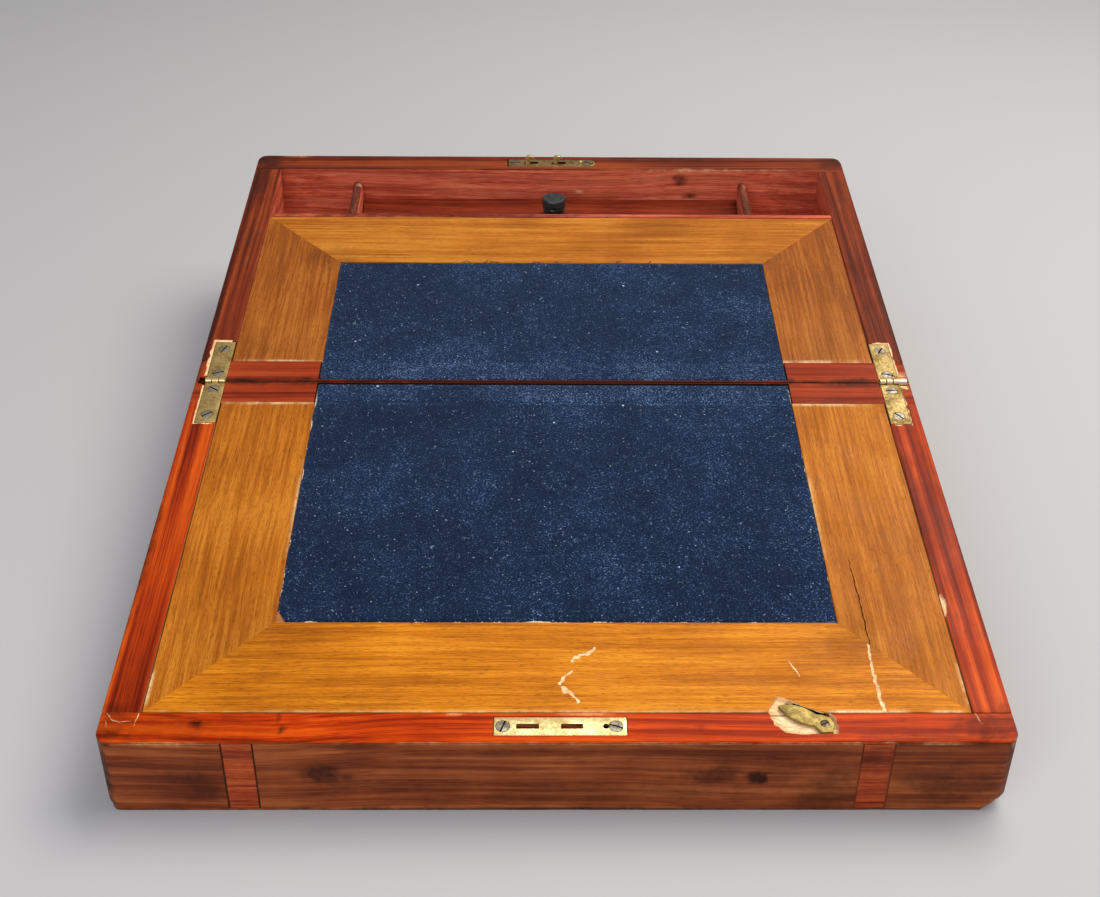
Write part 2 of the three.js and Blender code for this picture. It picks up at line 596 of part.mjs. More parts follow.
function baseInside() {
  const across = [-INNER_X + GLUE_GAP, INNER_X - GLUE_GAP];
  const backFace = BASE_INNER_Y - GLUE_GAP;
  place(object, 'base_bottom', box(across, [HINGE_WALL + GLUE_GAP, backFace], [0, BOARD]), 'plainWood');
  const floorZ = [TROUGH_FLOOR_TOP - TROUGH_FLOOR, TROUGH_FLOOR_TOP];
  place(object, 'trough_floor', box(across, [PARTITION_FRONT, backFace], floorZ), 'trough');
  const standOn = TROUGH_FLOOR_TOP + GLUE_GAP;
  const edges = [PARTITION_FRONT, TROUGH_FRONT];
  const tops = edges.map((y) => slopeAt(y, 2 * RIM_DROP));
  const partition = [[edges[0], standOn], [edges[1], standOn], [edges[1], tops[1]], [edges[0], tops[0]]];
  place(object, 'trough_partition', alongX(partition, across), 'trough');
  const cleatX = { left: [trayX[0], trayX[0] + CLEAT], right: [trayX[1] - CLEAT, trayX[1]] };
  const cleatTop = trayBottom - GLUE_GAP;
  for (const [name] of sides) {
    place(object, `trough_divider_${name}`, divider(dividerRanges[name], standOn), 'trough');
    place(object, `tray_cleat_${name}`, box(cleatX[name], trayY, [cleatTop - CLEAT, cleatTop]), 'plainWood');
  }
}

// a thin board with a round top that follows the slope
function divider([x0, x1], standOn) {
  const centre = (x0 + x1) / 2;
  const radius = DIVIDER / 2;
  const top = -DIVIDER_DROP - radius;
  const shape = new THREE.Shape();
  shape.moveTo(x0, -TALL);
  shape.lineTo(x1, -TALL);
  shape.lineTo(x1, top);
  shape.absarc(centre, top, radius, 0, Math.PI, false);
  shape.lineTo(x0, -TALL);
  const board = toObject(alongY(shape, [TROUGH_FRONT - TALL, HALF_DEPTH + TALL]));
  const room = box([x0 - 1, x1 + 1], [TROUGH_FRONT + GLUE_GAP, BASE_INNER_Y - GLUE_GAP], [standOn, TALL]);
  return board.intersect(room);
}

function penTray() {
  const [y0, y1] = trayY;
  const middle = (y0 + y1) / 2;
  const reach = (y1 - y0) / 2 - TRAY_LIP;
  const steps = 10;
  const scoop = Array.from({ length: steps + 1 }, (_, i) => {
    const t = 1 - (2 * i) / steps;
    return [middle + reach * t, trayTop - TRAY_SCOOP * (1 - t * t)];
  });
  const bar = alongX([[y0, trayBottom], [y1, trayBottom], [y1, trayTop], ...scoop, [y0, trayTop]], trayX);
  const hole = rod(BOTTLE_RADIUS + BOTTLE_PLAY, [trayBottom - 1, trayTop + 1], 24);
  return cut(bar, hole.translate([bottlePlace[0], bottlePlace[1], 0]));
}

function inkBottle() {
  const neckFoot = BOTTLE_SHOULDER + SHOULDER_RISE;
  const inner = BOTTLE_RADIUS - GLASS;
  return turned([[0, 0], [BOTTLE_RADIUS, 0], [BOTTLE_RADIUS, BOTTLE_SHOULDER], [NECK_RADIUS, neckFoot],
    [NECK_RADIUS, BOTTLE_HEIGHT], [NECK_BORE, BOTTLE_HEIGHT], [NECK_BORE, neckFoot - 1],
    [inner, BOTTLE_SHOULDER - GLASS], [inner, BOTTLE_FLOOR], [0, BOTTLE_FLOOR]], 24);
}

function inkStopper() {
  const foot = BOTTLE_HEIGHT + GLUE_GAP;
  const top = foot + CAP_HEIGHT;
  const plug = NECK_BORE - PLUG_CLEARANCE;
  const bottom = foot - PLUG_LENGTH;
  return turned([[0, bottom], [plug, bottom], [plug, foot], [CAP_RADIUS - CAP_TAPER, foot],
    [CAP_RADIUS, top - CAP_EDGE[1]], [CAP_RADIUS - CAP_EDGE[0], top], [0, top]], 20);
}

// ---------------------------------------------------------------- flaps and velvet, in the slope's frame
const flapX = [-INNER_X + FLAP_PLAY, INNER_X - FLAP_PLAY];
const flapNear = HINGE_WALL + SEAM;
const flapEnds = { base: PARTITION_FRONT - FLAP_PLAY, lid: LID_INNER_Y - FLAP_PLAY };
const velvetSplit = 0.1; // each velvet's end stands back from the seam
const velvetEnds = { base: flapEnds.base - VELVET_BORDER_BASE, lid: flapEnds.lid - VELVET_BORDER_LID };

// where an upright plane at level distance y cuts the height w of the slope's own frame
const uprightAt = (y, w) => alongSlope(y) + w * RISE;

// a board under the slope, from top down, with upright ends; a square far end stands clear as it swings
function slopeBoard(xRange, [near, far], half, top, thickness, squareEnd = false) {
  const bottom = top - thickness;
  return alongX([[uprightAt(half * near, top), top], [uprightAt(half * near, bottom), bottom],
    [uprightAt(half * far, squareEnd ? top : bottom), bottom], [uprightAt(half * far, top), top]], xRange);
}

function flapsAndVelvet() {
  for (const [name, half] of [['base', 1], ['lid', -1]]) {
    const near = alongSlope(flapNear);
    const velvetFar = alongSlope(velvetEnds[name]);
    const bedRun = mirrored([near - PAST, velvetFar + GLUE_GAP], half);
    const bed = box(velvetBedX, bedRun, [velvetFloor, PAST]);
    const tools = half > 0 ? [bed] : [bed, latchRecess()];
    const board = slopeBoard(flapX, [flapNear, flapEnds[name]], half, -FLAP_DROP, FLAP, half < 0);
    place(slope, `${name}_flap`, cut(board, ...tools), 'flap');
    const stripRun = [alongSlope(strip[0]), alongSlope(strip[1]) - velvetSplit];
    place(slope, `${name}_flap_velvet`, velvet([near + velvetSplit, velvetFar], half), 'velvet');
    place(slope, `${name}_velvet_strip`, velvet(stripRun, half), 'velvet');
    for (const [sideName, side] of sides) {
      const x = mirrored([INNER_X - GLUE_GAP - LEDGE, INNER_X - GLUE_GAP], side);
      const ledge = slopeBoard(x, [flapNear, flapEnds[name]], half, -FLAP_DROP - FLAP - GLUE_GAP, LEDGE);
      place(slope, `${name}_ledge_${sideName}`, ledge, 'plainWood');
    }
  }
}

const velvet = (run, half) => box(velvetX, mirrored(run, half), [-VELVET_DROP - VELVET, -VELVET_DROP]);

// ---------------------------------------------------------------- metalwork in place
function hinges() {
  for (const [name, side] of sides) {
    for (const [halfName, half] of [['base', 1], ['lid', -1]]) {
      place(slope, `hinge_leaf_${halfName}_${name}`, leafBody(side, half), 'brass');
      screwPlaces(side, half).forEach((at, i) => {
        const end = i ? 'outer' : 'inner';
        place(slope, `hinge_screw_${halfName}_${name}_${end}`, screwBody(0, true).translate(at), 'steel');
      });
    }
    const run = mirrored([leafRange[0] + PIN_CLEARANCE, barrelEnd(side) - PIN_CLEARANCE], side);
    place(slope, `hinge_pin_${name}`, rodAlongX(PIN_RADIUS, run), 'brass');
  }
}

function lockAndLatch() {
  place(slope, 'lock_plate', lockPlate(), 'brass');
  place(object, 'lock_case', lockCase(), 'iron');
  place(slope, 'lock_hook_bolt', hookBolt(), 'brass');
  place(slope, 'strike_plate', strikePlate(), 'brass');
  sides.forEach(([name], i) => {
    const lockScrew = screwBody(0, true).translate(lockScrewPlaces[i]).translate([0, lockV, 0]);
    const strikeScrew = screwBody(0, true).translate(strikeScrewPlaces[i]).translate([0, strikeV, 0]);
    place(slope, `lock_screw_${name}`, lockScrew, 'steel');
    place(slope, `strike_screw_${name}`, strikeScrew, 'steel');
  });
  place(object, 'keyhole_escutcheon', cut(escutcheonSolid(), keyhole()), 'brass');
  place(slope, 'flap_latch', latch(), 'brass');
  place(slope, 'latch_screw', screwBody(0, true, LATCH_SCREW_SIZE).translate(latchScrewPlace), 'steel');
}

baseWalls();
lidWalls();
baseInside();
place(object, 'pen_tray', penTray(), 'trough');
place(object, 'ink_bottle', inkBottle().translate(bottlePlace), 'glass');
place(object, 'ink_stopper', inkStopper().translate(bottlePlace), 'stopper');
flapsAndVelvet();
hinges();
lockAndLatch();

export default object;
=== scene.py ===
"""An antique folding writing slope, laid open: polished wood, worn velvet and let-in brass, round its CAD frame.

Lengths are millimetres in this file until mesh_piece() puts them into metres. "Slope" coordinates are (x, v, w):
their origin is on the hinge line, v runs up the slope and w stands square to it.
"""

import json
import math

import bpy
import numpy as np
from mathutils import Matrix, Vector


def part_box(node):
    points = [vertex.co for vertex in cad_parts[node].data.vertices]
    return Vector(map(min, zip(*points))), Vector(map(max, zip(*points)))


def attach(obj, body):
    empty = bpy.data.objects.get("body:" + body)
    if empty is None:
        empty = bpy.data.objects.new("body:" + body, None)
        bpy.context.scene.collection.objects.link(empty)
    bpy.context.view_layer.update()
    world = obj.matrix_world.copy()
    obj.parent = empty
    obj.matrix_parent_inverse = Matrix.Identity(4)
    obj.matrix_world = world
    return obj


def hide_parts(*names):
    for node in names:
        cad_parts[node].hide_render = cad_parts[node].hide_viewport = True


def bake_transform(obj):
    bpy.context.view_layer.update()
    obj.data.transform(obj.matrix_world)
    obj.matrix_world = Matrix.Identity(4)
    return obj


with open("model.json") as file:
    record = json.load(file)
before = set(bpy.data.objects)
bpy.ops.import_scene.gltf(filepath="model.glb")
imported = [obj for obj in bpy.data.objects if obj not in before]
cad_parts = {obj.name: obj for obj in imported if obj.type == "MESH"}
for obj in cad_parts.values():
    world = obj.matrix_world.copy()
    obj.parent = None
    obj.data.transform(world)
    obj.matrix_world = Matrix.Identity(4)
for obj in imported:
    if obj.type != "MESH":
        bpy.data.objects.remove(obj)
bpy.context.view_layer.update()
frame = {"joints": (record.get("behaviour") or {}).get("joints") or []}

MM = 0.001


def span(node):
    """Lowest and highest corner of a CAD node, in millimetres."""
    low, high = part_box(node)
    return np.array(low) / MM, np.array(high) / MM


# ------------------------------------------------------------------ places, from the CAD frame
HINGE_Z = next(j for j in frame["joints"] if j["name"] == "lid_hinge")["pos_m"][2] / MM
HALF_WIDTH = span("base_back_wall")[1][0]
HALF_DEPTH = span("base_back_wall")[1][1]
BACK_TOP = span("base_back_wall")[1][2]
INNER_X = span("base_right_wall")[0][0]
BASE_INNER_Y = span("base_back_wall")[0][1]
LID_INNER_Y = -span("lid_front_wall")[1][1]
HINGE_WALL = span("base_hinge_wall")[1][1]
RIM_DROP = 0.15
RISE = (BACK_TOP + RIM_DROP - HINGE_Z) / HALF_DEPTH
TILT = math.atan(RISE)
RIM = -RIM_DROP * math.cos(TILT)  # w of the polished rim
SEAM_Y = HINGE_WALL + 0.15  # flap's own hinge line
FLAP_TOP = -0.5
VELVET_TOP = -0.3


def rim_z(y):
    """Height of the rim over the table, level distance y from the hinge line."""
    return HINGE_Z + y * RISE - RIM_DROP


def along(y):
    """A level distance, measured up the slope."""
    return y / math.cos(TILT)


def from_slope(points):
    """Slope coordinates (x, v, w) turned by the tilt about the hinge line, into the object's frame."""
    x, v, w = np.asarray(points, float).T
    cos, sin = math.cos(TILT), math.sin(TILT)
    return np.stack([x, v * cos - w * sin, HINGE_Z + v * sin + w * cos], axis=1)


def to_slope(points):
    """Places in the object's frame as slope coordinates: the way back from from_slope."""
    x, y, z = np.asarray(points, float).T
    cos, sin = math.cos(TILT), math.sin(TILT)
    return np.stack([x, y * cos + (z - HINGE_Z) * sin, (z - HINGE_Z) * cos - y * sin], axis=1)


# ------------------------------------------------------------------ small tools
def soft_noise(points, size, seed):
    """Smooth noise from about -1 to 1: the mean of sine waves in seeded directions, about `size` mm long."""
    rng = np.random.default_rng(seed)
    points = np.atleast_2d(np.asarray(points, float))
    waves = 24
    directions = rng.normal(size=(waves, points.shape[1]))
    directions /= np.linalg.norm(directions, axis=1, keepdims=True)
    lengths = size * rng.uniform(0.6, 1.7, waves)
    phases = rng.uniform(0, 2 * math.pi, waves)
    total = np.sin(points @ (directions / lengths[:, None] * 2 * math.pi).T + phases)
    return total.sum(axis=1) / math.sqrt(waves) * 0.8


def smooth_step(t):
    """0 below 0, 1 above 1 and 3t^2 - 2t^3 between."""
    t = np.clip(t, 0, 1)
    return t * t * (3 - 2 * t)


def mesh_piece(name, points, faces, materials=(), face_slots=None, smooth_angle=35.0):
    """A new object at the origin from points in millimetres; faces is an array of quads or a list of rings."""
    mesh = bpy.data.meshes.new(name)
    rings = faces.tolist() if isinstance(faces, np.ndarray) else [list(map(int, ring)) for ring in faces]
    mesh.from_pydata((np.asarray(points, float) * MM).tolist(), [], rings)
    for material in materials:
        mesh.materials.append(material)
    if face_slots is not None:
        mesh.polygons.foreach_set("material_index", np.asarray(face_slots, np.int32))
    mesh.update()
    piece = bpy.data.objects.new(name, mesh)
    bpy.context.scene.collection.objects.link(piece)
    shade(piece, smooth_angle)
    return piece


def shade(piece, angle=35.0):
    """Smooth shading that stays crisp where faces meet at more than the angle, in degrees."""
    mesh = piece.data
    mesh.polygons.foreach_set("use_smooth", np.ones(len(mesh.polygons), bool))
    mesh.set_sharp_from_angle(angle=math.radians(angle))


def points_of(piece):
    """The piece's vertices in millimetres."""
    co = np.zeros(len(piece.data.vertices) * 3)
    piece.data.vertices.foreach_get("co", co)
    return co.reshape(-1, 3) / MM


def baked(piece):
    """Puts the result of the piece's modifiers into its mesh."""
    graph = bpy.context.evaluated_depsgraph_get()
    mesh = bpy.data.meshes.new_from_object(piece.evaluated_get(graph))
    old = piece.data
    piece.modifiers.clear()
    piece.data = mesh
    bpy.data.meshes.remove(old)
    return piece


def cut_away(piece, cutters, smooth_angle=35.0):
    """Takes the cutters out of the piece; each cut face keeps its cutter's own material."""
    for cutter in cutters:
        step = piece.modifiers.new("cut", "BOOLEAN")
        step.operation = "DIFFERENCE"
        step.solver = "MANIFOLD"
        step.object = cutter
        step.material_mode = "TRANSFER"
    baked(piece)
    for cutter in cutters:
        bpy.data.objects.remove(cutter)
    shade(piece, smooth_angle)
    return piece


def joined(name, parts):
    """Several meshes as one piece, with their materials and the values stored on them."""
    kept = {"grain": 3, "stain_and_shade": 1, "worn": 1}
    points, faces, slots, materials, start = [], [], [], [], 0
    values = {key: [] for key in kept}
    for part in parts:
        own = list(part.data.materials)
        materials += [material for material in own if material not in materials]
        points.append(points_of(part))
        for face in part.data.polygons:
            faces.append([start + v for v in face.vertices])
            slots.append(materials.index(own[face.material_index]))
        count = len(part.data.vertices)
        for key, width in kept.items():
            got = np.zeros(count * width)
            if key in part.data.attributes:
                part.data.attributes[key].data.foreach_get("vector" if width == 3 else "value", got)
            values[key].append(got)
        start += count
        bpy.data.objects.remove(part)
    piece = mesh_piece(name, np.vstack(points), faces, materials, slots)
    for key, width in kept.items():
        whole = np.concatenate(values[key])
        if whole.any():
            store(piece, key, whole.reshape(-1, 3) if width == 3 else whole)
    return piece


# ------------------------------------------------------------------ surfaces
def spaced(low, high, radius, step):
    """Stations along one edge of a slab: close together over the rounding at each end, `step` apart between."""
    turn = radius * np.tan(np.radians([45, 34, 23, 11]))
    inner = np.linspace(low + radius, high - radius, max(2, int((high - low - 2 * radius) / step) + 1))
    return np.concatenate([low + radius - turn, inner, (high - radius + turn)[::-1]])


def slab_surface(low, high, radius, steps):
    """Points and quads of a box with rounded edges. Each point q of the plain box is taken to c + r (q - c) / |q - c|,
    where c is the nearest point of the box that is smaller by r all round."""
    stations = [spaced(low[i], high[i], radius, steps[i]) for i in range(3)]
    counts = [len(s) for s in stations]
    keys, quads, start = [], [], 0
    for axis in range(3):
        b, c = (axis + 1) % 3, (axis + 2) % 3
        grid = np.arange(counts[b] * counts[c]).reshape(counts[b], counts[c])
        cell = np.stack([grid[:-1, :-1], grid[1:, :-1], grid[1:, 1:], grid[:-1, 1:]], axis=-1).reshape(-1, 4)
        for end in (0, counts[axis] - 1):
            key = np.zeros((counts[b], counts[c], 3), int)
            key[..., axis] = end
            key[..., b] = np.arange(counts[b])[:, None]
            key[..., c] = np.arange(counts[c])[None, :]
            keys.append(key.reshape(-1, 3))
            quads.append((cell if end else cell[:, ::-1]) + start)
            start += grid.size
    keys, back = np.unique(np.vstack(keys), axis=0, return_inverse=True)
    quads = back.reshape(-1)[np.vstack(quads)]
    q = np.stack([stations[i][keys[:, i]] for i in range(3)], axis=1)
    core = np.clip(q, np.array(low) + radius, np.array(high) - radius)
    out = q - core
    length = np.linalg.norm(out, axis=1, keepdims=True)
    return core + radius * out / np.maximum(length, 1e-9), quads, out / np.maximum(length, 1e-9)


def edge_wear(points, normals, depth, size, seed):
    """Dents along the rounded edges: points move in by depth x noise, most where the normal is halfway round."""
    turned = (1 - np.abs(normals).max(axis=1)) / 0.3
    dents = np.clip(soft_noise(points, size, seed) + 0.35 * soft_noise(points, size / 4, seed + 1), 0, 1)
    return points - normals * (depth * np.clip(turned, 0, 1) * dents)[:, None]


def rounded(points, axes, centre, sides):
    """Rounds a square corner. In the corner's square a point's offset d from the rounding's centre is shortened by
    max(d) / |d|, which turns the square into a quarter circle."""
    offset = (points[:, list(axes)] - centre) * sides
    corner = (offset > 1e-6).all(axis=1)
    offset = offset[corner]
    offset *= (offset.max(axis=1) / np.hypot(*offset.T))[:, None]
    points = points.copy()
    points[np.ix_(corner, list(axes))] = np.array(centre) + offset * sides
    return points


def pick_faces(piece, choose):
    """Sets each face's material by choose(centres in mm, normals)."""
    mesh = piece.data
    centres, normals = np.zeros(len(mesh.polygons) * 3), np.zeros(len(mesh.polygons) * 3)
    mesh.polygons.foreach_get("center", centres)
    mesh.polygons.foreach_get("normal", normals)
    slots = choose(centres.reshape(-1, 3) / MM, normals.reshape(-1, 3))
    mesh.polygons.foreach_set("material_index", slots.astype(np.int32))


def inset(outline, by):
    """A closed outline moved inwards: each point goes along the mean of its two edges' normals."""
    before, after = np.roll(outline, 1, axis=0) - outline, np.roll(outline, -1, axis=0) - outline
    before /= np.linalg.norm(before, axis=1, keepdims=True)
    after /= np.linalg.norm(after, axis=1, keepdims=True)
    inward = np.stack([-after[:, 1], after[:, 0]], axis=1) + np.stack([before[:, 1], -before[:, 0]], axis=1)
    inward /= np.maximum(np.linalg.norm(inward, axis=1, keepdims=True), 1e-9)
    cosine = np.abs(inward[:, 0] * -after[:, 1] + inward[:, 1] * after[:, 0])
    return outline + inward * by / np.maximum(cosine, 0.5)[:, None]


def plate(name, outline, bottom, top, bevel, materials, steps=3, under=0.0, levels=()):
    """A flat plate over an anticlockwise outline, as stacked rings: straight sides, then a quarter round of the
    bevel's radius, closed above and below by one face each. under is the bevel below, levels are extra rings."""
    outline = np.asarray(outline, float)
    turn = np.linspace(0, math.pi / 2, steps + 1)
    below = [(bottom + under * (1 - math.cos(a)), under * (1 - math.sin(a)))
             for a in turn] if under else [(bottom, 0.0)]
    above = [(top - bevel * (1 - math.sin(a)), bevel * (1 - math.cos(a))) for a in turn] if bevel else [(top, 0.0)]
    rings = [np.column_stack([inset(outline, by) if by > 1e-9 else outline, np.full(len(outline), z)])
             for z, by in [*below, *((z, 0.0) for z in levels), *above]]
    return mesh_piece(name, np.vstack(rings), stacked(len(outline), len(rings)), materials)


def stacked(count, rings):
    """Faces of rings of `count` points each, closed by one face at either end."""
    i = np.arange(count)
    j = np.roll(i, -1)
    sides = [np.stack([i + r * count, j + r * count, j + (r + 1) * count, i + (r + 1) * count], 1)
             for r in range(rings - 1)]
    return [list(i[::-1]), *np.vstack(sides).tolist(), list(i + (rings - 1) * count)]


def turned(name, profile, segments, materials, centre=(0, 0, 0)):
    """A lathe-turned solid: profile of (radius, height) from the bottom pole to the top pole, turned about Z."""
    profile = np.asarray(profile, float)
    a = np.linspace(0, 2 * math.pi, segments, endpoint=False)
    body = profile[1:-1]
    rings = np.stack([body[:, None, 0] * np.cos(a), body[:, None, 0] * np.sin(a),
                      np.repeat(body[:, None, 1], segments, 1)], axis=-1).reshape(-1, 3)
    points = np.vstack([rings, [[0, 0, profile[0, 1]], [0, 0, profile[-1, 1]]]])
    i = np.arange(segments)
    j = np.roll(i, -1)
    n = len(body)
    sides = np.vstack([np.stack([i + r * segments, j + r * segments, j + (r + 1) * segments, i + (r + 1) * segments],
                                1) for r in range(n - 1)])
    south, north = len(rings), len(rings) + 1
    caps = [[south, int(q), int(p)] for p, q in zip(i, j)]
    caps += [[north, int(p), int(q)] for p, q in zip(i + (n - 1) * segments, j + (n - 1) * segments)]
    return mesh_piece(name, points + np.array(centre), [*sides.tolist(), *caps], materials)


def move_mesh(piece, change):
    """Runs the piece's points, in millimetres, through change()."""
    co = change(points_of(piece)) * MM
    piece.data.vertices.foreach_set("co", co.astype(np.float32).ravel())
    piece.data.update()
    return piece


def ragged(outline, size, amount, seed, step=1.2):
    """An outline cut by hand: its edges are divided every `step` mm and each point is moved out by noise."""
    outline = np.asarray(outline, float)
    ends = np.roll(outline, -1, axis=0)
    pieces = []
    for a, b in zip(outline, ends):
        n = max(1, int(np.linalg.norm(b - a) / step))
        pieces.append(a + (b - a) * (np.arange(n) / n)[:, None])
    points = np.vstack(pieces)
    centre = points.mean(axis=0)
    out = points - centre
    out /= np.linalg.norm(out, axis=1, keepdims=True)
    return points + out * (amount * soft_noise(points, size, seed))[:, None]


def groove(name, path, widths, depth, material, surface, seed=0, rough=0.45):
    """A scratch to cut away: a ribbon round a path in (x, y), as wide as widths say with a rough edge, from `depth`
    below the surface to above it. The path is divided evenly and each cross-line is square to it."""
    path = np.asarray(path, float)
    length = np.concatenate([[0], np.cumsum(np.linalg.norm(np.diff(path, axis=0), axis=1))])
    s = np.linspace(0, length[-1], max(6, int(length[-1] / 0.8)))
    line = np.stack([np.interp(s, length, path[:, k]) for k in (0, 1)], axis=1)
    line += 0.25 * np.stack([soft_noise(line, 5, seed), soft_noise(line, 5, seed + 7)], axis=1)
    tangent = np.gradient(line, axis=0)
    tangent /= np.linalg.norm(tangent, axis=1, keepdims=True)
    side = np.stack([-tangent[:, 1], tangent[:, 0]], axis=1)
    width = np.interp(s / s[-1], np.linspace(0, 1, len(widths)), widths) / 2
    left = line + side * (width * np.maximum(0.12, 1 + rough * soft_noise(line, 2.5, seed + 1)))[:, None]
    right = line - side * (width * np.maximum(0.12, 1 + rough * soft_noise(line, 2.5, seed + 2)))[:, None]
    outline = np.vstack([right, left[::-1]])
    piece = plate(name, outline, surface - depth, surface + 1.5, 0, [material])
    return move_mesh(piece, from_slope)


# ------------------------------------------------------------------ materials
def linear(hex_colour):
    """An sRGB hex value as linear RGBA."""
    parts = [int(hex_colour[i:i + 2], 16) / 255 for i in (1, 3, 5)]
    return [p / 12.92 if p <= 0.04045 else ((p + 0.055) / 1.055) ** 2.4 for p in parts] + [1.0]


def add(tree, kind, inputs=None, **settings):
    """Adds a node with its settings; inputs maps a socket's name or number to a value or to a socket to link."""
    node = tree.nodes.new(kind)
    for key, value in settings.items():
        setattr(node, key, value)
    for key, value in (inputs or {}).items():
        if isinstance(value, bpy.types.NodeSocket):
            tree.links.new(value, node.inputs[key])
        else:
            node.inputs[key].default_value = value
    return node


def new_material(name):
    """An empty material with its output node."""
    material = bpy.data.materials.new(name)
    material.use_nodes = True
    material.node_tree.nodes.clear()
    return material, material.node_tree, add(material.node_tree, "ShaderNodeOutputMaterial")


def stops(ramp, *colours):
    """Gives a colour ramp its stops, as (place, hex colour) or (place, grey)."""
    elements = ramp.color_ramp.elements
    while len(elements) > 1:
        elements.remove(elements[-1])
    for i, (place, colour) in enumerate(colours):
        stop = elements[0] if i == 0 else elements.new(place)
        stop.position = place
        stop.color = linear(colour) if isinstance(colour, str) else (colour, colour, colour, 1)
    return ramp


def maths(tree, operation, *values):
    """The result of one arithmetic step on sockets or numbers."""
    return add(tree, "ShaderNodeMath", dict(enumerate(values)), operation=operation).outputs[0]


def blend(tree, share, under, over):
    """Two colours mixed: share is how much of the second shows."""
    return add(tree, "ShaderNodeMix", {"Factor": share, 6: under, 7: over}, data_type="RGBA").outputs[2]


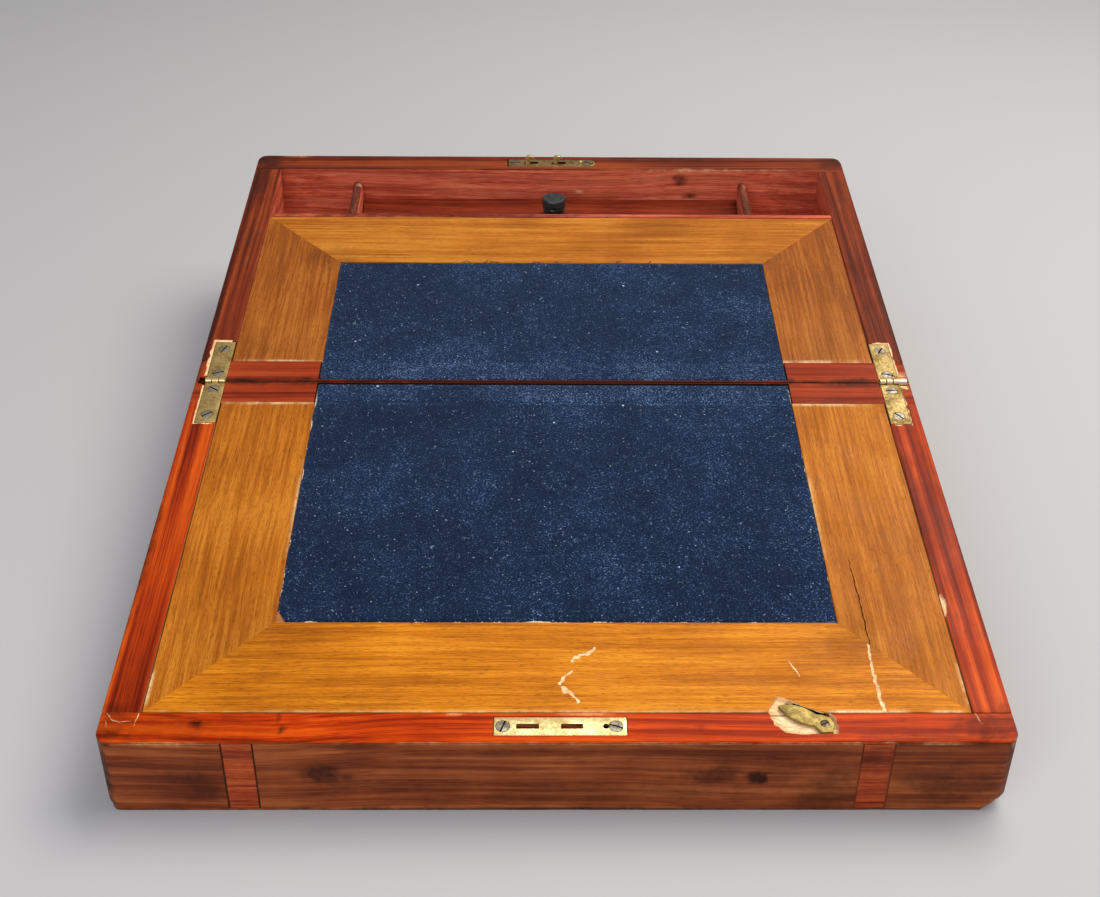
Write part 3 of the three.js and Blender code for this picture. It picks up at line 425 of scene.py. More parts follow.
def wood(name, dark, middle, light, streak=(90.0, 4.0), pore=(9.0, 0.35), pore_depth=0.5, broad=60.0, polish=0.5,
         rough=0.4, stain_and_shade="#2a1410", raw="#d9a066", bands=None, bump=0.06, glow="#f08a3c", figure=0.2, wander=9.0,
         fine=0.35):
    """Wood read along its own grain, from the attribute "grain" in metres, whose first number runs along the fibres.

    streak is the length and width of the growth streaks and pore those of the open vessels, both in mm; broad is the
    size of the slow changes of colour, figure their strength, wander how far they bend the fibres in mm, and fine the
    share of hair-fine streaks. glow tints the gloss, as varnish over warm wood does. "stain" and "worn" are attributes
    from 0 to 1: dark patina, in places painted shade, and rubbed, bare wood.
    """
    material, tree, output = new_material(name)
    grain = add(tree, "ShaderNodeAttribute", attribute_name="grain").outputs["Vector"]
    slow = add(tree, "ShaderNodeTexNoise", {"Vector": grain, "Scale": 1000 / broad, "Detail": 3.0}).outputs["Fac"]
    bend = add(tree, "ShaderNodeTexNoise", {"Vector": grain, "Scale": 500 / broad, "Detail": 0.5}).outputs["Color"]
    bend = add(tree, "ShaderNodeVectorMath", {0: bend, 1: (0.5, 0.5, 0.5)}, operation="SUBTRACT").outputs[0]
    bend = add(tree, "ShaderNodeVectorMath", {0: bend, 1: (0.0, wander * MM, wander * MM)},
               operation="MULTIPLY").outputs[0]
    bent = add(tree, "ShaderNodeVectorMath", {0: grain, 1: bend}, operation="ADD").outputs[0]

    def drawn(length, width, detail):
        """Noise drawn out along the fibres, length by width in mm."""
        scale = (1000 / length, 1000 / width, 1000 / width)
        place = add(tree, "ShaderNodeMapping", {"Vector": bent, "Scale": scale}).outputs[0]
        return add(tree, "ShaderNodeTexNoise",
                   {"Vector": place, "Scale": 1.0, "Detail": detail, "Roughness": 0.6}).outputs["Fac"]

    growth = drawn(streak[0], streak[1], 4.0)
    tone = maths(tree, "MULTIPLY", slow, figure)
    for part, share in ((growth, 0.75 - fine), (drawn(streak[0] * 2, streak[1] * 4, 1.5), 0.25),
                        (drawn(streak[0] / 3, streak[1] / 5, 2.0), fine)):
        tone = maths(tree, "MULTIPLY_ADD", part, share, tone)
    middle_tone = (1 + figure) / 2
    colour = stops(add(tree, "ShaderNodeValToRGB", {"Fac": tone}), (middle_tone - 0.095, dark), (middle_tone, middle),
                   (middle_tone + 0.095, light)).outputs[0]
    if bands:
        width, strength, shade_of = bands
        stretched = add(tree, "ShaderNodeMapping", {"Vector": bent, "Scale": (0.02, 1.0, 1.0)}).outputs[0]
        ring = add(tree, "ShaderNodeTexWave", {"Vector": stretched, "Scale": 1000 / width / 2 / math.pi,
                                               "Distortion": 3.0, "Detail": 3.0, "Detail Scale": 1.2},
                   wave_type="BANDS", bands_direction="DIAGONAL")
        share = stops(add(tree, "ShaderNodeValToRGB", {"Fac": ring.outputs["Fac"]}), (0.25, strength),
                      (0.75, 0.0)).outputs[0]
        colour = blend(tree, share, colour, linear(shade_of))
    fine = add(tree, "ShaderNodeMapping", {"Vector": bent, "Scale": (1000 / pore[0], 1000 / pore[1], 1000 / pore[1])})
    vessels = add(tree, "ShaderNodeTexNoise",
                  {"Vector": fine.outputs[0], "Scale": 1.0, "Detail": 2.0, "Roughness": 0.5})
    pores = stops(add(tree, "ShaderNodeValToRGB", {"Fac": vessels.outputs["Fac"]}), (0.54, 0.0),
                  (0.68, pore_depth)).outputs[0]
    colour = blend(tree, pores, colour, linear(stain_and_shade))
    broken = add(tree, "ShaderNodeTexNoise",
                 {"Vector": grain, "Scale": 350.0, "Detail": 4.0, "Roughness": 0.65}).outputs["Fac"]
    for mark, shade_of, sharp in (("stain_and_shade", stain_and_shade, 1.3), ("worn", raw, 3.5)):
        painted = add(tree, "ShaderNodeAttribute", attribute_name=mark).outputs["Fac"]
        edge = maths(tree, "MULTIPLY_ADD", broken, sharp, 1 - sharp / 2)
        share = add(tree, "ShaderNodeMath", {0: painted, 1: edge}, operation="MULTIPLY", use_clamp=True).outputs[0]
        share = add(tree, "ShaderNodeMapRange", {"Value": share, "To Max": 0.93}).outputs[0]
        colour = blend(tree, share, colour, linear(shade_of))
    dull = add(tree, "ShaderNodeTexNoise", {"Vector": grain, "Scale": 45.0, "Detail": 5.0}).outputs["Fac"]
    roughness = add(tree, "ShaderNodeMapRange",
                    {"Value": dull, "From Min": 0.3, "From Max": 0.7, "To Min": rough - 0.08,
                     "To Max": rough + 0.1}).outputs[0]
    height = maths(tree, "MULTIPLY_ADD", pores, -0.6, growth)
    relief = add(tree, "ShaderNodeBump", {"Height": height, "Strength": 0.35, "Distance": bump * MM}).outputs[0]
    shader = add(tree, "ShaderNodeBsdfPrincipled",
                 {"Base Color": colour, "Roughness": roughness, "Normal": relief, "IOR": 1.5,
                  "Specular IOR Level": 0.35, "Specular Tint": linear(glow), "Coat Weight": polish * 0.04,
                  "Coat Roughness": 0.2, "Coat IOR": 1.4})
    tree.links.new(shader.outputs[0], output.inputs[0])
    return material


def metal(name, clean, dirty, rough, spots, scratch=0.5, smear=9.0):
    """Old metal: clean and tarnished colours mixed by soft clouds and finer spots, with fine scratches across it."""
    material, tree, output = new_material(name)
    place = add(tree, "ShaderNodeTexCoord").outputs["Object"]
    clouds = add(tree, "ShaderNodeTexNoise",
                 {"Vector": place, "Scale": 1000 / smear, "Detail": 6.0, "Roughness": 0.6})
    specks = add(tree, "ShaderNodeTexNoise",
                 {"Vector": place, "Scale": 1000 / spots, "Detail": 4.0, "Roughness": 0.7})
    mixed = maths(tree, "ADD", clouds.outputs["Fac"], specks.outputs["Fac"])
    share = add(tree, "ShaderNodeMapRange", {"Value": mixed, "From Min": 0.8, "From Max": 1.2}).outputs[0]
    colour = blend(tree, share, linear(clean), linear(dirty))
    drawn = add(tree, "ShaderNodeMapping", {"Vector": place, "Rotation": (0.0, 0.0, 0.5),
                                            "Scale": (300.0, 5000.0, 300.0)})
    lines = add(tree, "ShaderNodeTexNoise", {"Vector": drawn.outputs[0], "Scale": 1.0, "Detail": 2.0}).outputs["Fac"]
    roughness = add(tree, "ShaderNodeMapRange",
                    {"Value": share, "To Min": rough, "To Max": min(0.9, rough + 0.3)}).outputs[0]
    height = maths(tree, "ADD", specks.outputs["Fac"], lines)
    relief = add(tree, "ShaderNodeBump", {"Height": height, "Strength": scratch, "Distance": 0.05 * MM}).outputs[0]
    shader = add(tree, "ShaderNodeBsdfPrincipled",
                 {"Base Color": colour, "Metallic": 1.0, "Roughness": roughness, "Normal": relief})
    tree.links.new(shader.outputs[0], output.inputs[0])
    return material


def cotton_velvet():
    """Cut-pile cotton velvet, dyed navy: the pile drinks light face on and glows at a grazing angle. It is rubbed paler
    along its creases, painted a little darker towards its left side as shade, and holds pale lint. "bare" is where
    the pile is gone and the cream ground shows."""
    material, tree, output = new_material("worn_cotton_velvet")
    cloth = add(tree, "ShaderNodeAttribute", attribute_name="cloth").outputs["Vector"]
    nap = add(tree, "ShaderNodeTexNoise", {"Vector": cloth, "Scale": 34.0, "Detail": 7.0, "Roughness": 0.7,
                                           "Distortion": 0.8})
    tufts = add(tree, "ShaderNodeTexNoise", {"Vector": cloth, "Scale": 1100.0, "Detail": 3.0, "Roughness": 0.8})
    clumps = add(tree, "ShaderNodeTexNoise",
                 {"Vector": cloth, "Scale": 260.0, "Detail": 4.0, "Roughness": 0.75, "Distortion": 1.5})
    rubbed = add(tree, "ShaderNodeAttribute", attribute_name="rubbed").outputs["Fac"]
    tone = rubbed
    for part, share in ((nap, 0.26), (clumps, 0.36), (tufts, 1.1)):
        tone = maths(tree, "MULTIPLY_ADD", part.outputs["Fac"], share, tone)
    ramp = stops(add(tree, "ShaderNodeValToRGB", {"Fac": tone}), (0.62, "#050b16"), (0.83, "#0f1e37"),
                 (0.97, "#1b2f4e"), (1.22, "#566f94"))
    colour = ramp.outputs[0]
    # short hairs caught in the pile: where one slow noise crosses its middle, kept in scattered places by another
    hairs = add(tree, "ShaderNodeTexNoise",
                {"Vector": cloth, "Scale": 170.0, "Detail": 1.0, "Distortion": 2.5}).outputs["Fac"]
    hairs = maths(tree, "SUBTRACT", hairs, 0.5)
    hairs = add(tree, "ShaderNodeMath", {0: hairs}, operation="ABSOLUTE").outputs[0]
    hairs = add(tree, "ShaderNodeMapRange", {"Value": hairs, "From Min": 0.013, "From Max": 0.006}).outputs[0]
    kept = add(tree, "ShaderNodeTexNoise", {"Vector": cloth, "Scale": 420.0, "Detail": 1.0}).outputs["Fac"]
    kept = add(tree, "ShaderNodeMapRange", {"Value": kept, "From Min": 0.6, "From Max": 0.68,
                                            "To Max": 0.6}).outputs[0]
    hairs = maths(tree, "MULTIPLY", hairs, kept)
    colour = blend(tree, hairs, colour, linear("#8fa3bf"))
    # dust, then larger lint
    for grain, rare, widest, strength in ((620.0, 0.78, 0.22, 0.42), (430.0, 0.85, 0.18, 0.5),
                                          (210.0, 0.95, 0.13, 0.85)):
        lint = add(tree, "ShaderNodeTexVoronoi", {"Vector": cloth, "Scale": grain, "Randomness": 1.0}, feature="F1")
        chance = add(tree, "ShaderNodeSeparateColor", {"Color": lint.outputs["Color"]}).outputs[0]
        chosen = add(tree, "ShaderNodeMapRange",
                     {"Value": chance, "From Min": rare, "From Max": 1.0, "To Max": widest}).outputs[0]
        fleck = maths(tree, "LESS_THAN", lint.outputs["Distance"], chosen)
        fleck = maths(tree, "MULTIPLY", fleck, strength)
        colour = blend(tree, fleck, colour, linear("#b4c3d4"))
    gone = add(tree, "ShaderNodeAttribute", attribute_name="bare").outputs["Fac"]
    frayed = add(tree, "ShaderNodeTexNoise", {"Vector": cloth, "Scale": 700.0, "Detail": 4.0}).outputs["Fac"]
    gone = maths(tree, "ADD", gone, frayed)
    gone = add(tree, "ShaderNodeMapRange", {"Value": gone, "From Min": 0.95, "From Max": 1.1}).outputs[0]
    colour = blend(tree, gone, colour, linear("#e9d9b4"))
    height = maths(tree, "ADD", tufts.outputs["Fac"], clumps.outputs["Fac"])
    relief = add(tree, "ShaderNodeBump", {"Height": height, "Strength": 0.9, "Distance": 0.5 * MM}).outputs[0]
    shader = add(tree, "ShaderNodeBsdfPrincipled",
                 {"Base Color": colour, "Roughness": 0.95, "Normal": relief, "IOR": 1.4, "Specular IOR Level": 0.15,
                  "Sheen Weight": 0.45, "Sheen Roughness": 0.35, "Sheen Tint": linear("#7f9cc4")})
    tree.links.new(shader.outputs[0], output.inputs[0])
    return material


def ink_glass():
    """Dark, ink-stained bottle glass: near black, with a clear wet gloss."""
    material, tree, output = new_material("ink_stained_glass")
    place = add(tree, "ShaderNodeTexCoord").outputs["Object"]
    cloud = add(tree, "ShaderNodeTexNoise", {"Vector": place, "Scale": 180.0, "Detail": 4.0}).outputs["Fac"]
    colour = stops(add(tree, "ShaderNodeValToRGB", {"Fac": cloud}), (0.35, "#0b1413"), (0.65, "#24322f")).outputs[0]
    roughness = add(tree, "ShaderNodeMapRange", {"Value": cloud, "To Min": 0.04, "To Max": 0.35}).outputs[0]
    shader = add(tree, "ShaderNodeBsdfPrincipled", {"Base Color": colour, "Roughness": roughness, "IOR": 1.52,
                                                    "Transmission Weight": 0.25})
    tree.links.new(shader.outputs[0], output.inputs[0])
    return material


def hard_rubber():
    """Moulded black hard rubber gone grey-green with age: a soft gloss with dull bloom."""
    material, tree, output = new_material("aged_hard_rubber")
    place = add(tree, "ShaderNodeTexCoord").outputs["Object"]
    bloom = add(tree, "ShaderNodeTexNoise",
                {"Vector": place, "Scale": 420.0, "Detail": 5.0, "Roughness": 0.6}).outputs["Fac"]
    colour = stops(add(tree, "ShaderNodeValToRGB", {"Fac": bloom}), (0.35, "#14181b"), (0.6, "#262d31"),
                   (0.8, "#3e4b4f"))
    roughness = add(tree, "ShaderNodeMapRange", {"Value": bloom, "To Min": 0.3, "To Max": 0.6}).outputs[0]
    relief = add(tree, "ShaderNodeBump", {"Height": bloom, "Strength": 0.4, "Distance": 0.08 * MM}).outputs[0]
    shader = add(tree, "ShaderNodeBsdfPrincipled",
                 {"Base Color": colour.outputs[0], "Roughness": roughness, "Normal": relief, "IOR": 1.55})
    tree.links.new(shader.outputs[0], output.inputs[0])
    return material


# mahogany under French polish: glowing orange-red, darker in its streaks, glossy
rim_wood = wood("french_polished_mahogany", "#7d1d03", "#b33705", "#cf500b", streak=(160, 2.4), pore=(10, 0.4),
                pore_depth=0.35, broad=45, fine=0.2, polish=0.5, rough=0.38, stain_and_shade="#260b05", raw="#e8b07a",
                glow="#ff5a14")
# the lid's side rails, of streakier wood
rail_wood = wood("streaked_mahogany", "#5c1506", "#9c310a", "#c65110", streak=(300, 3.0), pore=(12, 0.4),
                 pore_depth=0.4, broad=90, fine=0.15, wander=3.0, polish=0.5, rough=0.38, stain_and_shade="#200a06",
                 raw="#ecb984", glow="#f25a1c")
# the same wood on the base's high end and sides, where handling has turned it browner
dark_rim_wood = wood("handled_mahogany", "#421609", "#6c2610", "#8d3e1a", streak=(240, 2.8), pore=(12, 0.4),
                     pore_depth=0.4, broad=70, fine=0.18, wander=4.0, polish=0.5, rough=0.42, stain_and_shade="#1f100d",
                     raw="#e0a877", glow="#d86a3a")
# plain red wood beside the hinge line
strip_wood = wood("rubbed_mahogany", "#5e180a", "#892d12", "#a0401c", streak=(160, 2.6), pore=(8, 0.4),
                  pore_depth=0.35, broad=60, fine=0.2, wander=4.0, polish=0.3, rough=0.45, stain_and_shade="#251511",
                  raw="#e3b58c", glow="#e8642c")
# walnut veneer on the outside: brown with a red cast, cloudy figure under an old polish
walnut = wood("polished_walnut_veneer", "#602a15", "#834020", "#9d562d", streak=(150, 3.2), pore=(6, 0.35),
              pore_depth=0.35, broad=48, polish=0.35, rough=0.45, stain_and_shade="#1a0b09", raw="#d19a66", glow="#d06a34",
              figure=0.4, fine=0.2, wander=7.0)
# cross-grained banding, redder than the ground it crosses
banding = wood("cross_banding", "#6b2210", "#94391c", "#b2542a", streak=(60, 1.0), pore=(4, 0.3), pore_depth=0.5,
               broad=26, polish=0.35, rough=0.45, wander=1.2)
# dyed dark stringing between banding and ground, and where it has faded
stringing = wood("dyed_stringing", "#24110b", "#331910", "#472516", streak=(30, 1.0), polish=0.3)
faded_stringing = wood("faded_stringing", "#5c2715", "#6e321c", "#7d3c22", streak=(30, 1.0), polish=0.3)
# mahogany veneer of the flaps: golden brown, satin, flecked with short vessels; the side borders take the light less,
# so their copy is painted darker, as shade
flap_wood = wood("satin_mahogany_veneer", "#9c550c", "#bf6f12", "#d4871f", streak=(60, 1.5), pore=(3.2, 0.34),
                 pore_depth=0.5, broad=60, polish=0.2, rough=0.42, stain_and_shade="#4c2408", raw="#f4dca6", bump=0.1,
                 glow="#f5a040", figure=0.3, wander=5.0)
shaded_flap_side_wood = wood("satin_side_veneer_painted_shade", "#8c4a10", "#a85f16", "#bd7724", streak=(60, 1.4), pore=(3.0, 0.32),
                      wander=5.0, pore_depth=0.5, broad=60, polish=0.2, rough=0.42, stain_and_shade="#4c2408", raw="#f4dca6",
                      bump=0.1, glow="#eda047", figure=0.35)
# the far flap's copies, painted darker again as shade, since less light reaches the far end
shaded_far_flap_wood = wood("far_end_veneer_painted_shade", "#904e13", "#ab641a", "#c07c2a", streak=(60, 1.5), pore=(3.2, 0.34),
                     wander=5.0, pore_depth=0.45, broad=60, polish=0.2, rough=0.42, stain_and_shade="#4c2408", raw="#f0d9a8",
                     bump=0.1, glow="#eda047", figure=0.35)
shaded_far_side_wood = wood("far_side_veneer_painted_shade", "#773c10", "#935019", "#aa6626", streak=(60, 1.4), pore=(3.0, 0.32),
                     wander=5.0, pore_depth=0.45, broad=60, polish=0.2, rough=0.42, stain_and_shade="#40200a", raw="#f0d9a8",
                     bump=0.1, glow="#e09a4c", figure=0.35)
# stained cedar of the pen trough: dull red-brown with close straight lines; its colour is painted paler, as light
# falling into the deep trough
trough_wood_painted_light = wood("stained_cedar_painted_light", "#983a25", "#c95d42", "#de7c5c", streak=(90, 1.0), pore=(9, 0.4), pore_depth=0.35,
                   broad=50, polish=0.05, rough=0.6, stain_and_shade="#2a1210", raw="#e4b796", bands=(2.4, 0.3, "#8c3a28"),
                   glow="#e09070")
# the dividers' tops, painted dark as shade, beside their paler sides
shaded_divider_wood = wood("divider_top_painted_shade", "#40201a", "#663327", "#7f4736", streak=(60, 1.4), pore=(8, 0.4),
                    pore_depth=0.3, broad=40, polish=0.05, rough=0.6, stain_and_shade="#2c120e", raw="#dcae8c")
# the loose pen tray's polished wood, painted dark as the shade that lies in its scoop
shaded_tray_wood = wood("polished_tray_wood_painted_shade", "#4c170c", "#742614", "#8b381c", streak=(180, 2.4), pore=(12, 0.4),
                 pore_depth=0.3, broad=60, polish=0.1, rough=0.55, stain_and_shade="#180b08", glow="#c8603a")
# unpolished softwood inside: pale, dry and dull
plain_wood = wood("unpolished_pine", "#8a5c38", "#a67448", "#bd8d5e", streak=(80, 2.5), pore=(6, 0.4), pore_depth=0.2,
                  broad=60, polish=0.0, rough=0.75)
# underside and edges of the flaps: mahogany planed and left without polish
back_wood = wood("planed_mahogany", "#7c4524", "#985c33", "#ad7244", streak=(120, 2.4), pore=(6, 0.4), pore_depth=0.3,
                 broad=60, polish=0.0, rough=0.65, wander=4.0)
# freshly broken or rubbed wood: pale straw, open grained
raw_wood = wood("bare_mahogany", "#c89464", "#ecc692", "#f9e3bb", streak=(10, 0.6), pore=(3, 0.3), pore_depth=0.3,
                broad=10, polish=0.0, rough=0.8, bump=0.25, stain_and_shade="#7a3420", glow="#ffd9a8")
# where dirt has filled a cut, and as painted shade in narrow cuts such as the line along the latch's blade
dark_wood = wood("grimed_and_shaded_wood", "#160b08", "#21110c", "#2e1812", streak=(20, 1.0), polish=0.0, rough=0.8)
# cast and filed brass, dull olive-yellow, brown in its low places
brass = metal("aged_brass", "#c8b077", "#8d7645", 0.48, 1.6)
# brass by the far lock, painted darker and browner as shade, since little light reflects from it there
shaded_brass = metal("brass_painted_shade", "#a08458", "#5e4830", 0.42, 1.6)
# the same brass where hooks and knuckles rub it bright
bright_brass = metal("rubbed_brass", "#e2cf98", "#b3975c", 0.3, 1.6)
# the strike plate, painted paler as a highlight where it catches the light, and the latch
highlit_strike_brass = metal("strike_brass_painted_highlight", "#ead8a2", "#bfa66c", 0.32, 1.6)
latch_brass = metal("cast_brass", "#ad975c", "#8f7c48", 0.44, 3.0)
# screws gone dull: grey steel with brown spots, darker and browner at the lock
steel = metal("dull_steel", "#b0a899", "#71675a", 0.42, 0.9, smear=4.0)
dirty_steel = metal("browned_steel", "#93836c", "#54453a", 0.45, 0.9, smear=4.0)
grimed_steel = metal("grimed_steel", "#3f3832", "#1f1a16", 0.6, 0.9)
# black wrought iron of the lock's case and bolt
iron = metal("black_iron", "#4a4643", "#2a211c", 0.55, 1.2)
# navy thread worked loose from the cloth
thread = wood("navy_thread", "#141f38", "#2a3a5c", "#5c6f92", streak=(3, 0.4), polish=0.0, rough=0.9)
velvet = cotton_velvet()
glass = ink_glass()
rubber = hard_rubber()


# ------------------------------------------------------------------ finishing a piece
def lay_grain(piece, direction, shift):
    """Stores "grain": the place in metres with the fibres' direction first, moved on by shift so no two boards match.

    The directions are x, y, z, "slope" for fibres that run up the slope, and "rail" for a side wall, whose first
    material has its fibres up the slope and the others theirs level.
    """
    order = {"x": (0, 1, 2), "z": (2, 0, 1)}.get(direction, (1, 2, 0))
    moved = np.array([0.31, 0.73, 0.57]) * shift
    level = points_of(piece)[:, order] * MM + moved
    sloping = to_slope(points_of(piece))[:, order] * MM + moved
    if direction != "rail":
        store(piece, "grain", sloping if direction == "slope" else level)
        return
    mesh = piece.data
    corners = np.zeros(len(mesh.loops), int)
    mesh.loops.foreach_get("vertex_index", corners)
    grain = level[corners]
    for face in mesh.polygons:
        if face.material_index == 0:
            own = slice(face.loop_start, face.loop_start + face.loop_total)
            grain[own] = sloping[corners[own]]
    attribute = mesh.attributes.new("grain", "FLOAT_VECTOR", "CORNER")
    attribute.data.foreach_set("vector", grain.astype(np.float32).ravel())


def store(piece, name, values):
    """A number or a vector for every vertex."""
    kind = "FLOAT" if np.ndim(values) == 1 else "FLOAT_VECTOR"
    attribute = piece.data.attributes.get(name) or piece.data.attributes.new(name, kind, "POINT")
    field = "value" if kind == "FLOAT" else "vector"
    attribute.data.foreach_set(field, np.asarray(values, np.float32).ravel())


def mark(piece, name, spots, seed=3):
    """Paints soft spots: each is (centre, radii, strength) in mm; the value is the strongest of
    strength x (1 - distance), with the distance in radii and roughened by noise."""
    co = points_of(piece)
    value = np.zeros(len(co))
    rough = 0.25 * soft_noise(co, 9, seed) + 0.12 * soft_noise(co, 3, seed + 1)
    for centre, radii, strength in spots:
        distance = np.linalg.norm((co - np.array(centre)) / np.array(radii), axis=1)
        value = np.maximum(value, strength * smooth_step(1.25 - distance + rough))
    store(piece, name, value)


def set_up(piece, body, nodes, grain=None, shift=0.0):
    """Puts a finished piece in the frame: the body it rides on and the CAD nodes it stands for."""
    if grain:
        lay_grain(piece, grain, shift)
    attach(piece, body)
    if nodes:
        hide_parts(*nodes)
    return piece


# ------------------------------------------------------------------ camera, light and floor
def set_stage():
    """A pale floor running up into a backdrop, a wide soft light overhead and to the right, and the camera."""
    depth, height, radius, width = 6000.0, 4000.0, 900.0, 14000.0
    a = np.linspace(0, math.pi / 2, 16)
    y = np.concatenate([[-7000], depth - radius + radius * np.sin(a), [depth]])
    z = np.concatenate([[0], radius * (1 - np.cos(a)), [height]])
    line = np.stack([np.zeros_like(y), y, z], axis=1)
    points = np.vstack([line + [-width / 2, 0, 0], line + [width / 2, 0, 0]])
    n = len(line)
    i = np.arange(n - 1)
    faces = np.stack([i, i + n, i + n + 1, i + 1], axis=1)
    material, tree, output = new_material("pale_studio_floor")
    shader = add(tree, "ShaderNodeBsdfPrincipled", {"Base Color": linear("#b2b2b4"), "Roughness": 0.8})
    tree.links.new(shader.outputs[0], output.inputs[0])
    floor = mesh_piece("studio_floor", points, faces, [material])

    world = bpy.data.worlds.new("studio_air")
    bpy.context.scene.world = world
    world.use_nodes = True
    air = world.node_tree.nodes["Background"]
    air.inputs["Color"].default_value = linear("#eef1f6")
    air.inputs["Strength"].default_value = 0.36

    for name, place, target, size, power, colour in (
            ("overhead_softbox", (600, 300, 1300), (0, -60, 40), (1300, 900), 24.0, "#fff8ee"),
            ("front_fill", (-500, -1500, 900), (0, -100, 40), (1400, 1000), 19.0, "#f4f6ff")):
        lamp = bpy.data.lights.new(name, "AREA")
        lamp.shape = "RECTANGLE"
        lamp.size, lamp.size_y = size[0] * MM, size[1] * MM
        lamp.energy = power
        lamp.color = linear(colour)[:3]
        holder = bpy.data.objects.new(name, lamp)
        holder.location = Vector(place) * MM
        holder.rotation_euler = (Vector(target) - Vector(place)).to_track_quat("-Z", "Y").to_euler()
        bpy.context.scene.collection.objects.link(holder)

    pitch, yaw, roll = (math.radians(angle) for angle in (33.451, -0.789, -0.574))
    turn = Matrix.Rotation(yaw, 3, "Z")
    forward = turn @ Vector((0, math.cos(pitch), -math.sin(pitch)))
    right = turn @ Vector((1, 0, 0))
    down = forward.cross(right)
    across = math.cos(roll) * right + math.sin(roll) * down
    below = -math.sin(roll) * right + math.cos(roll) * down
    lens = bpy.data.cameras.new("camera")
    lens.sensor_width = 36.0
    lens.lens = 48.79
    lens.clip_start, lens.clip_end = 0.01, 20
    camera = bpy.data.objects.new("camera", lens)
    pose = Matrix((across, -below, -forward)).transposed().to_4x4()
    pose.translation = Vector((-10.0, -627.9, 438.9)) * MM
    camera.matrix_world = pose
    bpy.context.scene.collection.objects.link(camera)
    bpy.context.scene.camera = camera
    bpy.context.scene.view_settings.view_transform = "Standard"


# ------------------------------------------------------------------ walls
BED = -1.8  # floor of the beds that hinge leaves and lock plates lie in, in w
LEAF_X = (INNER_X + 0.3, INNER_X + 10.0)
LEAF_LENGTH = 32.0
KNUCKLE = 1.6
BARREL_END = {-1: LEAF_X[1], 1: span("hinge_pin_right")[1][0] + 0.2}
HINGE_SCREWS = (6.4, 26.0)  # from the pin
LOCK_V = along(HALF_DEPTH - 7.4)
LOCK_SCREWS = (-20.8, 22.7)
STRIKE_SCREWS = (-21.2, 22.0)
STUD_X = 18.2
HOOKS = (-14.8, 1.8)
LATCH_PIVOT = np.array([102.0, -along(HALF_DEPTH - 8.9)])
LATCH_TURN = math.radians(26.7)
SCREW_GAP = 0.14  # round every screw, in the metal or wood it goes through
LATCH_SCREW = 0.62  # size of the latch's screw beside the others
BAND_X = 121.7
KEYHOLE = (span("keyhole_escutcheon")[0] + span("keyhole_escutcheon")[1]) / 2
VELVET_X = span("base_flap_velvet")[1][0]
VELVET_START = 1.6  # from the hinge line
SIDES = (("left", -1), ("right", 1))
HALVES = (("base", 1), ("lid", -1))


def both(x0, x1, side):
    """A range on one side of the middle."""
    return (x0, x1) if side > 0 else (-x1, -x0)


def box_outline(x0, x1, y0, y1, radius=0.0):
    """A rectangle's outline, anticlockwise, its corners rounded."""
    if not radius:
        return np.array([(x0, y0), (x1, y0), (x1, y1), (x0, y1)], float)
    a = np.linspace(0, math.pi / 2, 5)
    corners = [(x1 - radius, y1 - radius), (x0 + radius, y1 - radius), (x0 + radius, y0 + radius),
               (x1 - radius, y0 + radius)]
    return np.vstack([np.stack([cx + radius * np.cos(a + i * math.pi / 2), cy + radius * np.sin(a + i * math.pi / 2)],
                               1) for i, (cx, cy) in enumerate(corners)])


def block(low, high, material, slope=True):
    """A plain block for cutting with."""
    piece = plate("cutter", box_outline(low[0], high[0], low[1], high[1]), low[2], high[2], 0, [material])
    return move_mesh(piece, from_slope) if slope else piece


def across_hinge(piece):
    """Lays a piece turned about Z along X, on the hinge line."""
    return move_mesh(piece, lambda p: np.stack([p[:, 2], p[:, 0], p[:, 1] + HINGE_Z], axis=1))


def screw_sink(x, v, top, size=1.0):
    """What a screw takes out of the metal or wood it goes through."""
    head, shank = 2.7 * size + SCREW_GAP, 1.25 * size + SCREW_GAP
    sink = turned("sink", [(0, -9.2), (shank, -9.2), (shank, -0.3 - head + shank), (head, -0.3), (head, 3), (0, 3)],
                  40, [dark_wood])
    return move_mesh(move_mesh(sink, lambda p: p + (x, v, top)), from_slope)


